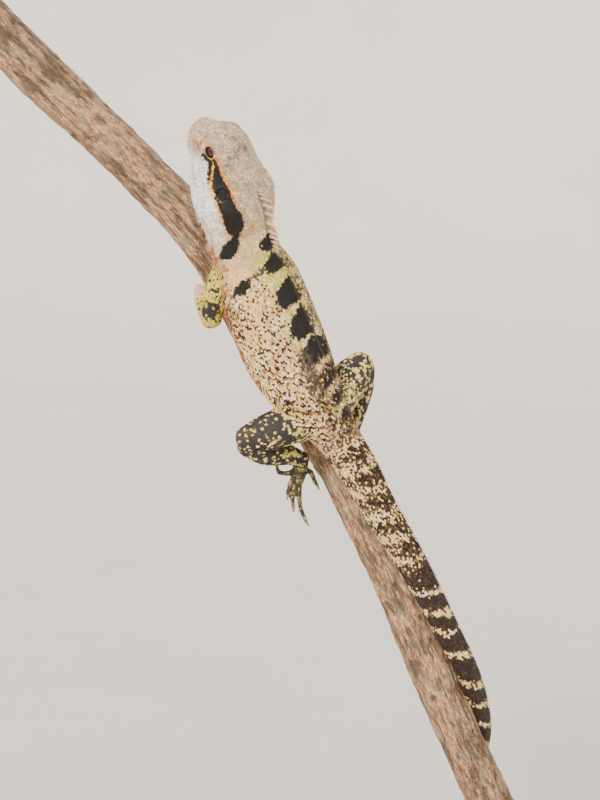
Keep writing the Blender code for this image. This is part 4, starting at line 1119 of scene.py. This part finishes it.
# %% The coat of the body and tail
LIP_BAND = 2.3  # the labials take this much height above and below the mouth
LENGTHS = (  # name, from, to, pitch along, pitch round, shape, slot
    ("scales_head", 3, 60, 1.25, 1.35, plate, "skin_head"),
    ("scales_neck", 60, 104, 1.25, 1.25, keeled, "skin_head"),
    ("scales_trunk_front", 104, 158, 1.3, 1.3, keeled, "skin_back"),
    ("scales_trunk_rear", 158, 222, 1.3, 1.3, keeled, "skin_back"),
    ("scales_tail_root", 222, 360, 1.45, 1.35, keeled, "skin_tail"),
    ("scales_tail_end", 360, 677, 1.6, 1.3, keeled, "skin_tail"))
for name, start, end, pitch, width, shape, slot in LENGTHS:
    uneven, sheen = (0.12, 0.20) if start < HEAD_END else (0.08, 0.14)
    s, u = rows_on(0, start, end, pitch, width)
    root, lie, face, open_here = seat(0, s, u)
    if start < HEAD_END:
        height = ((root - BODY.place(s)) * body_frame(s)[3]).sum(-1) - mouth_height(s)
        open_here &= clear_of_face(root) & ((np.abs(height) > LIP_BAND) | (s > MOUTH_END))
    s, u, root, lie, face = (v[open_here] for v in (s, u, root, lie, face))
    big = draw.random(len(s)) < (0.10 if 90 < start < 222 else 0.03)
    grow = draw.normal(1.0, uneven, len(s)) + 0.28 * big
    shine = draw.normal(1.0, sheen, len(s)) + 0.08 * big
    size = np.outer(grow, (1.22 * pitch, 1.12 * width, 1.15 * pitch))
    coats.append(lay_coat(name, root, lie, face, size, paint(0, s, u, root) * shine[:, None],
                          patch_of(0, s, u), shape, keratin))

# %% Labials: two rows of longer plates along each lip
LIP_ROWS = ((1.25, 2.05), (-1.25, 2.05), (2.9, 1.75), (-2.9, 1.75))  # height over the mouth, pitch
tries = np.linspace(0.12, 0.40, 120)
lips = []
for level, pitch in LIP_ROWS:
    for s in np.arange(3.6, MOUTH_END - 0.5, pitch):
        height = section(np.full(len(tries), s), tries)[1] - mouth_height(s)
        u = tries[np.argmin(np.abs(height - level))]
        lips += [(s, u), (s, 1 - u)]
s, u = np.array(lips).T
root, lie, face, open_here = seat(0, s, u, 1.2)
open_here &= clear_of_face(root)
s, u, root, lie, face = (v[open_here] for v in (s, u, root, lie, face))
colour = paint(0, s, u, root) * draw.normal(1.0, 0.05, (len(s), 1))
size = np.tile((2.15, 1.6, 1.3), (len(s), 1))
coats.append(lay_coat("scales_lips", root, lie, face, size, colour, patch_of(0, s, u), plate, keratin))

# %% The coat of the limbs
PITCHES = {"limb": 1.35, "palm": 1.15, "digit": 0.95}
for name, members in (("scales_arms", ("arm", "hand")), ("scales_legs", ("leg", "foot"))):
    parts = []
    for k, tube in enumerate(tubes):
        if tube.name.startswith(members):
            pitch = PITCHES[tube.kind]
            s, u = rows_on(k, tube.start + 0.3, tube.end - 0.3, pitch, pitch)
            root, lie, face, open_here = seat(k, s, u)
            s, u, root, lie, face = (v[open_here] for v in (s, u, root, lie, face))
            colour = paint(k, s, u, root)
            pale = np.clip(colour.mean(axis=1) * 1.6, 0, 1)
            grow = draw.normal(1.0, 0.07, len(s)) + 0.18 * pale
            size = np.outer(grow, (1.2 * pitch, 1.1 * pitch, pitch))
            shine = draw.normal(1.0, 0.09, (len(s), 1))
            parts.append((root, lie, face, size, colour * shine, patch_of(k, s, u)))
    coats.append(lay_coat(name, *map(np.concatenate, zip(*parts)), keeled, keratin))

# %% [markdown]
# ## Crest
# The nape carries tall soft spines that curve back like a comb, and a low row of teeth runs on
# down the back and tail. Each could be modelled, but they differ only in size. So they are
# instances of one curved leaf, finer and closer than in the solids, with heights from a line.

# %% Crest spines
t = np.linspace(0, 1, 7)
middles = np.column_stack([0.62 * t**1.5 - 0.05, 0 * t, 1.05 * t - 0.12 - 0.12 * t**2.5])
leaf = template("spine_leaf", loops(zip(middles, (1 - t) ** 0.75 + 0.02), (0.26, 0, 0), (0, 0.11, 0), 6),
                grid_faces(7, 6), np.repeat(0.3 + 0.7 * t, 6))
CREST_HEIGHTS = np.array((  # distance, height
    (46, 1.5), (49, 6.6), (53, 12.0), (58, 15.0), (66, 13.6), (72, 10.6), (79, 7.0), (86, 4.6), (94, 3.2),
    (110, 2.6), (216, 2.4), (250, 2.6), (300, 2.2), (370, 1.6), (470, 1.0))).T
CREST_START, CREST_END = 46.0, 466
s = [CREST_START]
while s[-1] < CREST_END:
    s.append(s[-1] + 1.0 + 0.26 * float(np.interp(s[-1], *CREST_HEIGHTS)))
s = np.array(s)
root, lie, face, _ = seat(0, s, 0 * s, 2.0)
height = np.interp(s, *CREST_HEIGHTS) * draw.uniform(0.86, 1.1, len(s))
colour = mix(paint(0, s, 0 * s + 0.001, root), TINTS["crest"], 1 - fade(s, 80, 94) * 0.94)
size = np.column_stack([0.30 * height + 1.1, 0.30 * height + 1.1, height])
coats.append(lay_coat("crest_spines", root, lie, face, size, colour, patch_of(0, s, 0 * s), leaf, horn))

# %% Spines of the jowl and nape
SPINE_FIELDS = (  # how many, from and to along the head, from and to round it, heights
    (60, 43, 55, 0.09, 0.19, 1.4, 2.8),
    (90, 56, 80, 0.28, 0.42, 1.3, 2.6),
    (40, 54, 78, 0.03, 0.09, 1.4, 2.6))
spines = []
for number, s0, s1, u0, u1, h0, h1 in SPINE_FIELDS:
    for k in range(number):
        u = draw.uniform(u0, u1)
        spines.append((draw.uniform(s0, s1), u if k % 2 else 1 - u, draw.uniform(h0, h1)))
s, u, height = np.array(spines).T
root, lie, face, open_here = seat(0, s, u, 1.2)
colour = paint(0, s, u, root)
open_here &= colour.mean(axis=1) > 0.2
s, u, height, root, lie, face, colour = (v[open_here] for v in (s, u, height, root, lie, face, colour))
size = np.column_stack([0.9 * height + 0.4, 0.7 * height + 0.6, height])
coats.append(lay_coat("jowl_spines", root, lie, face, size, mix(colour, TINTS["crest"], 0.6),
                      patch_of(0, s, u), leaf, horn))
for shape in (keeled, plate, leaf):
    bpy.data.objects.remove(shape, do_unlink=True)

# %% [markdown]
# ## Eyes
# The eye is a wet ball with a red-brown iris and a round pupil. A glass eye would have its iris
# painted behind the lens. Here a smooth clear coat lies over colour that follows rings from the
# pupil outwards, stored on the mesh, which is enough at this size.

# %% Eye material
# A wet eye throws back one small sharp light, which makes the head look alive
eye_material, tree, shader, place = surface_material(
    "wet_eye_with_clear_cornea", 0.12, IOR=1.376, Coat_Weight=1.0, Coat_Roughness=0.02)
rise = add_node(tree, "Attribute", attribute_name="rise")
streaks = add_node(tree, "TexNoise", {"Vector": place}, {"Scale": 2400.0, "Detail": 4.0})
shift = add_node(tree, "Math", {0: streaks}, {1: 0.10}, operation="MULTIPLY")
total = add_node(tree, "Math", {0: rise.outputs["Fac"], 1: shift}, operation="ADD")
iris = add_node(tree, "ValToRGB", {0: total}, stops=(
    (0.0, "#060405"), (0.16, "#060405"), (0.19, "#6A3318"), (0.27, "#531C10"), (0.38, "#2E0E09"),
    (0.50, "#0E0605")))
wire(tree, shader, {"Base Color": iris})
# Lids are thin hide with small folds, a soft dark frame that sets off the wet eye
lid_hide = marked_material("eyelid_hide", 0.8, 1.05, 0.5, 1800.0, 0.4)
print("materials", eye_material.name, lid_hide.name)

# %% Eyeballs and lids
SIDES = (("left", 1), ("right", -1))
EYE_ROWS, EYE_COLUMNS, RIM_STEPS, RIM_SIDES = 32, 48, 72, 12
lean = np.arange(EYE_ROWS) * math.pi / EYE_ROWS + 0.01
leans = np.repeat(lean, EYE_COLUMNS)
eyeball = ball(lean, EYE_COLUMNS) * EYE_RADIUS * (1 + 0.05 * hill(leans, 0.55))[:, None]
turn = np.arange(RIM_STEPS) * 2 * math.pi / RIM_STEPS
wide = (LID_OPENING + 0.1) * np.column_stack([np.cos(turn), np.sin(turn)])
high = LID_BALL[2] * np.sqrt(1 - ((wide / LID_BALL[:2]) ** 2).sum(1)) - 0.45
line = np.column_stack([wide, high])
out = unit(line / LID_BALL**2)
flat = np.cross(unit(np.roll(line, -1, axis=0) - np.roll(line, 1, axis=0)), out)
thick = (0.55 + 0.2 * np.clip(np.sin(turn), 0, 1))[:, None]
strands = [line + thick * (math.cos(a) * flat + math.sin(a) * out)
           for a in np.arange(RIM_SIDES) * 2 * math.pi / RIM_SIDES]
rim = np.stack(strands, 1).reshape(-1, 3)
lid_faces = (np.array(grid_faces(RIM_STEPS + 1, RIM_SIDES, closed=False)) % len(rim)).tolist()
across = rim[:, :2] / LID_OPENING
tint = mix(mix(TINTS["cloud"], TINTS["snout"], 0.3), mix(TINTS["yellow"], TINTS["cream"], 0.4),
           fade(across[:, 0], 0.35, 0.8))
tint[np.linalg.norm(across, axis=1) < 0.97] = TINTS["speck"]
eye_faces = grid_faces(EYE_ROWS, EYE_COLUMNS)
for side, hand in SIDES:
    middle, axes = on_head(EYE_AT, hand), eye_axes(hand)
    eye = new_piece("eyeball_" + side, middle + eyeball @ axes, eye_faces, eye_material)
    store(eye.data, "rise", leans / math.pi)
    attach(eye, "root")
    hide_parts("eye_" + side)
    lid = new_piece("eyelid_" + side, middle + rim @ axes, lid_faces, lid_hide)
    give_markings(lid.data, tint)
    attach(lid, "root")
    print(side, "eye", triangles(eye), "triangles, lid", triangles(lid))

# %% Ear drums
# A drum is a thin dark membrane with a faint gloss, so the ear looks like a hollow
drum_material, tree, shader, place = surface_material("thin_drum_membrane", 0.34, IOR=1.4)
veins = add_node(tree, "TexNoise", {"Vector": place}, {"Scale": 900.0, "Detail": 5.0})
tone = add_node(tree, "ValToRGB", {0: veins}, stops=((0.3, "#1E1918"), (0.7, "#453A38")))
wire(tree, shader, {"Base Color": tone})
DRUM_SIDES = 40
DRUM_RINGS = ((EAR_RADIUS, -0.6), (EAR_RADIUS, 0.0), (2.4, 0.16), (1.6, 0.0), (0.8, -0.12), (0.1, -0.15))
for side, hand in SIDES:
    axis = ear_axis(hand)
    across = unit(np.cross(axis, (0.3, 0.2, 0.9)))
    at = on_head(EAR_AT, hand) - axis * 1.6
    rings = [(at + axis * height, radius) for radius, height in DRUM_RINGS]
    drum = new_piece("drum_" + side, loops(rings, across, np.cross(axis, across), DRUM_SIDES),
                     grid_faces(len(rings), DRUM_SIDES), drum_material)
    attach(drum, "root")
    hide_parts("ear_" + side)
    print(side, "drum", triangles(drum), "triangles")

# %% [markdown]
# ## Claws
# Each digit ends in a curved claw of clear horn, dark along its ridge. A straight cone would
# look like a thorn. A cone bent along a short arc is enough, with a root that goes into the toe.

# %% Make the claws
# Claw horn is clear and polished by wear, so it shows a thin bright line and a dark tip
claw_material, tree, shader, place = surface_material(
    "clear_brown_claw_horn", 0.26, IOR=1.55, Coat_Weight=0.3)
rise = add_node(tree, "Attribute", attribute_name="rise")
grain = add_node(tree, "TexNoise", {"Vector": place}, {"Scale": 1500.0})
deeper = add_node(tree, "Math", {0: grain, 1: rise.outputs["Fac"]}, operation="MULTIPLY")
tone = add_node(tree, "ValToRGB", {0: deeper}, stops=((0.0, "#A8917A"), (0.25, "#6E5A47"), (0.6, "#33271E")))
wire(tree, shader, {"Base Color": tone})
CLAW_SIDES = 10
t = np.linspace(0, 1, 9)
points, faces = [], []
for start, end in claw_lines:
    run = end - start
    bow = facing(unit(run)[None], np.zeros(1))[0]
    middles = start + np.outer(t * 1.12 - 0.12, run) + np.outer(0.45 * np.sin(math.pi * t), bow)
    rings = zip(middles, 1.12 * (1 - t) ** 0.75 + 0.05)
    add_shell(loops(rings, 0.8 * unit(np.cross(run, bow)), bow, CLAW_SIDES), len(t), CLAW_SIDES)
claws = new_piece("claws", np.concatenate(points), faces, claw_material)
store(claws.data, "rise", np.tile(np.repeat(t, CLAW_SIDES), len(claw_lines)))
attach(claws, "root")
print("claws", len(claw_lines), "with", triangles(claws), "triangles")

# %% [markdown]
# ## Branch
# The branch is old hardwood with fibrous bark in long strings, fine cracks along the grain, a
# few knots and thin grey-green lichen. A bump map would leave its outline smooth. So it is a
# tube whose radius is moved in and out by noise that is stretched along the grain, with sawn ends.

# %% Branch mesh
BRANCH_ROWS, BRANCH_SIDES = 680, 120
BARK_RADIUS, BARK_STRETCH = 14, 16  # the bark's pattern is laid on a round branch, and drawn out
BARK_TOP = 0.35  # the bark stands out from the solid branch by no more than this
KNOTS = (  # distance, degrees round the branch, size
    (96, 20, 6), (262, -40, 5), (430, 35, 5.5), (330, 170, 6), (150, 200, 5), (505, -30, 4.5))
s, turn = grid_on(np.linspace(0, PERCH.length, BRANCH_ROWS), BRANCH_SIDES)
angle = turn * 2 * np.pi
wrap = np.column_stack([np.cos(angle) * BARK_RADIUS, np.sin(angle) * BARK_RADIUS, s / BARK_STRETCH])
strings = (soft_noise(wrap, 1.5, 11) + soft_noise(wrap * (1, 1, 4), 1.1, 12)) / 2
lumps = soft_noise(wrap * (1, 1, BARK_STRETCH), 11.0, 13)
crack = 1 - fade(np.abs(soft_noise(wrap, 4.0, 14) - 0.5), 0.0, 0.035)
flakes = soft_noise(wrap * (1, 1, BARK_STRETCH / 3), 1.7, 15)
relief = 1.3 * (strings - 0.62) + 0.8 * (lumps - 0.75) + (flakes - 0.6) - 0.6 * crack
for knot_s, knot_angle, size in KNOTS:
    aside = (np.degrees(angle) - knot_angle + 180) % 360 - 180
    gap = np.hypot((s - knot_s) * 0.8, np.radians(aside) * BARK_RADIUS) / size
    relief += 0.7 * hill(gap - 0.9, 0.35) - 0.9 * hill(gap, 0.5)
relief = np.minimum(relief, BARK_TOP)
tangent = PERCH.along(np.clip(s, 1.0, PERCH.length - 1.0))
bark_points = PERCH.place(s) + facing(tangent, np.degrees(angle)) * (perch_radius(s, angle) + relief)[:, None]
faces = grid_faces(BRANCH_ROWS, BRANCH_SIDES, closed=False)
points, ring = [bark_points], np.arange(BRANCH_SIDES)
for row, at in ((0, 0.0), (BRANCH_ROWS - 1, PERCH.length)):
    edge = bark_points[row * BRANCH_SIDES + ring]
    middle, base = PERCH.place(at), sum(map(len, points))
    points += [middle + (edge - middle) * share for share in (0.96, 0.7, 0.4, 0.1)]
    rings = [row * BRANCH_SIDES + ring] + [base + i * BRANCH_SIDES + ring for i in range(4)]
    for outer, inner in zip(rings, rings[1:]):
        faces += np.stack([outer, np.roll(outer, -1), np.roll(inner, -1), inner], -1).tolist()
    faces.append(rings[-1].tolist())
branch = new_piece("branch", np.concatenate(points), faces)
sawn_points = len(branch.data.vertices) - len(s)
store(branch.data, "grain", np.vstack([wrap, np.tile((0, 0, -9), (sawn_points, 1))]), "FLOAT_VECTOR")
# how low the bark's relief lies, which the bark material turns into painted shade
store(branch.data, "hollow", np.append(np.clip(0.5 + relief * 0.6, 0, 1), np.full(sawn_points, 0.5)))
store(branch.data, "sawn", np.repeat((0, 1), (len(s), sawn_points)))
print("branch", triangles(branch), "triangles")

# %% Bark material
# Old bark is dry and stringy, pale where it is worn, with dull lichen, so it looks rough beside
# the satin scales. Its cracks and low places are darkened as painted shade, more the deeper they
# lie. Its strings are drawn about 1.5 mm wide, which is coarser than the finest real ones
bark, tree, shader, place = surface_material("fibrous_hardwood_bark", 0.82, IOR=1.45)
grain, hollow, sawn = (add_node(tree, "Attribute", attribute_name=key) for key in ("grain", "hollow", "sawn"))
strand = grain.outputs["Vector"]
short = add_node(tree, "Mapping", {"Vector": strand}, {"Scale": (1.0, 1.0, 3.0)})
fibres = add_node(tree, "TexNoise", {"Vector": short},
                  {"Scale": 1.7, "Detail": 9.0, "Roughness": 0.78, "Distortion": 0.6})
tone = add_node(tree, "ValToRGB", {0: fibres}, stops=(
    (0.38, "#3E2A1B"), (0.46, "#8A6445"), (0.53, "#C2926E"), (0.59, "#F7DCBC")))
broad = add_node(tree, "TexNoise", {"Vector": place}, {"Scale": 60.0, "Detail": 3.0})
lichen = add_node(tree, "TexNoise", {"Vector": place}, {"Scale": 110.0, "Detail": 8.0, "Roughness": 0.62})
cover = add_node(tree, "MapRange", {"Value": lichen}, {"From Min": 0.50, "From Max": 0.62, "To Max": 0.55})
worn = add_node(tree, "MapRange", {"Value": broad}, {"To Max": 0.4})
weather = add_node(tree, "Mix", {"Factor": worn, 6: tone}, {7: (*linear("#A67F5E"), 1)}, data_type="RGBA")
mossy = add_node(tree, "Mix", {"Factor": cover, 6: weather.outputs[2]}, {7: (*linear("#8F8F74"), 1)},
                 data_type="RGBA")
# Painted shade: the bark is darkened where its relief lies low, down to 0.3 in the deepest hollows
hollow_painted_shade = add_node(tree, "MapRange", {"Value": hollow.outputs["Fac"]}, {"From Max": 0.45, "To Min": 0.3})
dark = add_node(tree, "VectorMath", {0: mossy.outputs[2], "Scale": hollow_painted_shade}, operation="SCALE")
growth = add_node(tree, "TexNoise", {"Vector": place}, {"Scale": 260.0, "Detail": 4.0})
end_grain = add_node(tree, "ValToRGB", {0: growth}, stops=((0.3, "#A98560"), (0.7, "#D2B48C")))
cut = add_node(tree, "Mix", {"Factor": sawn.outputs["Fac"], 6: dark, 7: end_grain}, data_type="RGBA")
threads = add_node(tree, "TexNoise", {"Vector": strand}, {"Scale": 1.3, "Detail": 7.0})
rough = add_node(tree, "MapRange", {"Value": threads}, {"To Min": 0.7, "To Max": 0.95})
bump = add_node(tree, "Bump", {"Height": threads}, {"Strength": 0.9, "Distance": 0.0008})
wire(tree, shader, {"Base Color": cut.outputs[2], "Roughness": rough, "Normal": bump})
branch.data.materials.append(bark)
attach(branch, "root")
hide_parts("perch_branch")
print("bark nodes", len(tree.nodes))

# %% [markdown]
# ## Stand
# A museum stand stays quiet: a board of dark stained wood with a satin varnish, and two steel
# rods. The base keeps its CAD mesh and gets a better finish. The rods are turned again with
# more sides, because the solid ones would show their flats.

# %% Stand finishes
# Stained oak is dark with long fine grain, and its satin varnish shows a soft broad light
wood, tree, shader, place = surface_material("satin_stained_oak", 0.52, IOR=1.5, Specular_IOR_Level=0.3)
stretch = add_node(tree, "Mapping", {"Vector": place}, {"Scale": (1.0, 16.0, 10.0)})
growth = add_node(tree, "TexNoise", {"Vector": stretch},
                  {"Scale": 26.0, "Detail": 7.0, "Roughness": 0.6, "Distortion": 0.6})
tone = add_node(tree, "ValToRGB", {0: growth}, stops=((0.3, "#241811"), (0.5, "#3A281C"), (0.7, "#4F3827")))
pores = add_node(tree, "Bump", {"Height": growth}, {"Strength": 0.25, "Distance": 0.0003})
wire(tree, shader, {"Base Color": tone, "Normal": pores})
for slot in bpy.data.objects["stand_base"].material_slots:
    slot.material = wood

# Brushed steel has fine lines along the rod, which draw its light out into a streak
steel, tree, shader, place = surface_material("brushed_steel_rod", 0.3, Metallic=1.0)
stretch = add_node(tree, "Mapping", {"Vector": place}, {"Scale": (1.0, 1.0, 30.0)})
lines = add_node(tree, "TexNoise", {"Vector": stretch}, {"Scale": 90.0, "Detail": 4.0})
tone = add_node(tree, "ValToRGB", {0: lines}, stops=((0.3, "#A9A9A8"), (0.7, "#C6C6C4")))
brush = add_node(tree, "MapRange", {"Value": lines}, {"To Min": 0.22, "To Max": 0.42})
wire(tree, shader, {"Base Color": tone, "Roughness": brush})
ROD_SIDES = 48
for name in ("stand_rod_1", "stand_rod_2"):
    low, high = (np.array(corner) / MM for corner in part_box(name))
    (x, y), radius = (low + high)[:2] / 2, (high[0] - low[0]) / 2
    rings = [((x, y, z), radius - less) for z, less in (
        (low[2], 0.3), (low[2] + 0.3, 0.0), (high[2] - 1.0, 0.0), (high[2], 1.0))]
    rod = new_piece(name.replace("stand_rod", "polished_rod"), loops(rings, (1, 0, 0), (0, 1, 0), ROD_SIDES),
                    grid_faces(len(rings), ROD_SIDES), steel)
    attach(rod, "root")
    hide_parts(name)
    print(name, "radius", round(float(radius), 2), "mm")

# %% [markdown]
# ## The skin takes the place of the solids
# The solids could be shown below the skin, but they would poke through where it is carved. So
# the skin stands for all nodes of flesh, which stay in the simulation for contact, and the
# coats ride with it.

# %% Ride and replace
FLESH = [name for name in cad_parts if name.startswith((
    "head", "lower_jaw", "neck", "torso", "pelvis", "tail", "arm", "leg", "hand", "foot"))]
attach(skin, "root")
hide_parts(*FLESH)
for coat in coats:
    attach(coat, "root")
print("flesh nodes", len(FLESH), "coats", len(coats))

# %% [markdown]
# ## Studio
# A museum piece is shown on a plain ground: a pale floor that curves up into a wall all round,
# a soft main light from the upper left in front, a weaker one from the right and a broad dim
# light behind. A backdrop picture would bring in light from elsewhere. The camera looks from
# the photo's side, ten degrees above level.

# %% Floor
FLOOR_RADIUS, FLOOR_BEND, WALL_HEIGHT, FLOOR_SIDES = 4000, 1500, 5000, 96
# Matt painted board: even and quiet, so that only the animal draws the eye
floor_material, tree, shader, place = surface_material("matt_pale_floor", 0.9)
faint = add_node(tree, "TexNoise", {"Vector": place}, {"Scale": 3.0, "Detail": 2.0})
tone = add_node(tree, "ValToRGB", {0: faint}, stops=((0.3, "#DAD7D2"), (0.7, "#DEDBD6")))
wire(tree, shader, {"Base Color": tone})
rings = [((0, 0, 0), 40), ((0, 0, 0), FLOOR_RADIUS)]
rings += [((0, 0, FLOOR_BEND * (1 - math.cos(b))), FLOOR_RADIUS + FLOOR_BEND * math.sin(b))
          for b in np.linspace(0, math.pi / 2, 13)[1:]]
rings += [((0, 0, WALL_HEIGHT), FLOOR_RADIUS + FLOOR_BEND)]
faces = grid_faces(len(rings), FLOOR_SIDES, closed=False) + [list(range(FLOOR_SIDES))[::-1]]
points = loops(rings, (1, 0, 0), (0, 1, 0), FLOOR_SIDES)
floor = new_piece("floor", points, faces, floor_material, shell=False)
floor.visible_shadow = False
print("floor rings", len(rings))


# %% Lights and camera
def soft_sun(name, place, power, spread, code):
    """Even light from one side, so that the floor has no bright pool; spread is in degrees."""
    lamp = bpy.data.lights.new(name, "SUN")
    lamp.angle, lamp.energy, lamp.color = math.radians(spread), power, linear(code)
    holder = link_piece(name, lamp)
    holder.rotation_euler = (-Vector(place)).to_track_quat("-Z", "Y").to_euler()


soft_sun("key", (-0.7, -1.6, 1.2), 5.0, 12, "#FFF6EA")
soft_sun("fill", (1.5, -1.2, 0.6), 0.7, 50, "#F0F5FF")
soft_sun("back", (0.5, 1.3, 1.4), 1.3, 40, "#FFFFFF")
world = bpy.data.worlds.new("studio")
bpy.context.scene.world = world
world.use_nodes = True
background = world.node_tree.nodes["Background"].inputs
background["Color"].default_value = (*linear("#E4E2DE"), 1)
background["Strength"].default_value = 0.62

camera = bpy.data.cameras.new("camera")
camera.lens, camera.sensor_width, camera.sensor_fit = 86.25, 36.0, "AUTO"
camera.clip_end = 50.0
eye_point = link_piece("camera", camera)
eye_point.location = (-0.010, -1.1325, 0.7097)
eye_point.rotation_euler = (math.radians(90 - CAMERA_TILT), 0, 0)
bpy.context.scene.camera = eye_point
print("camera at", tuple(eye_point.location))
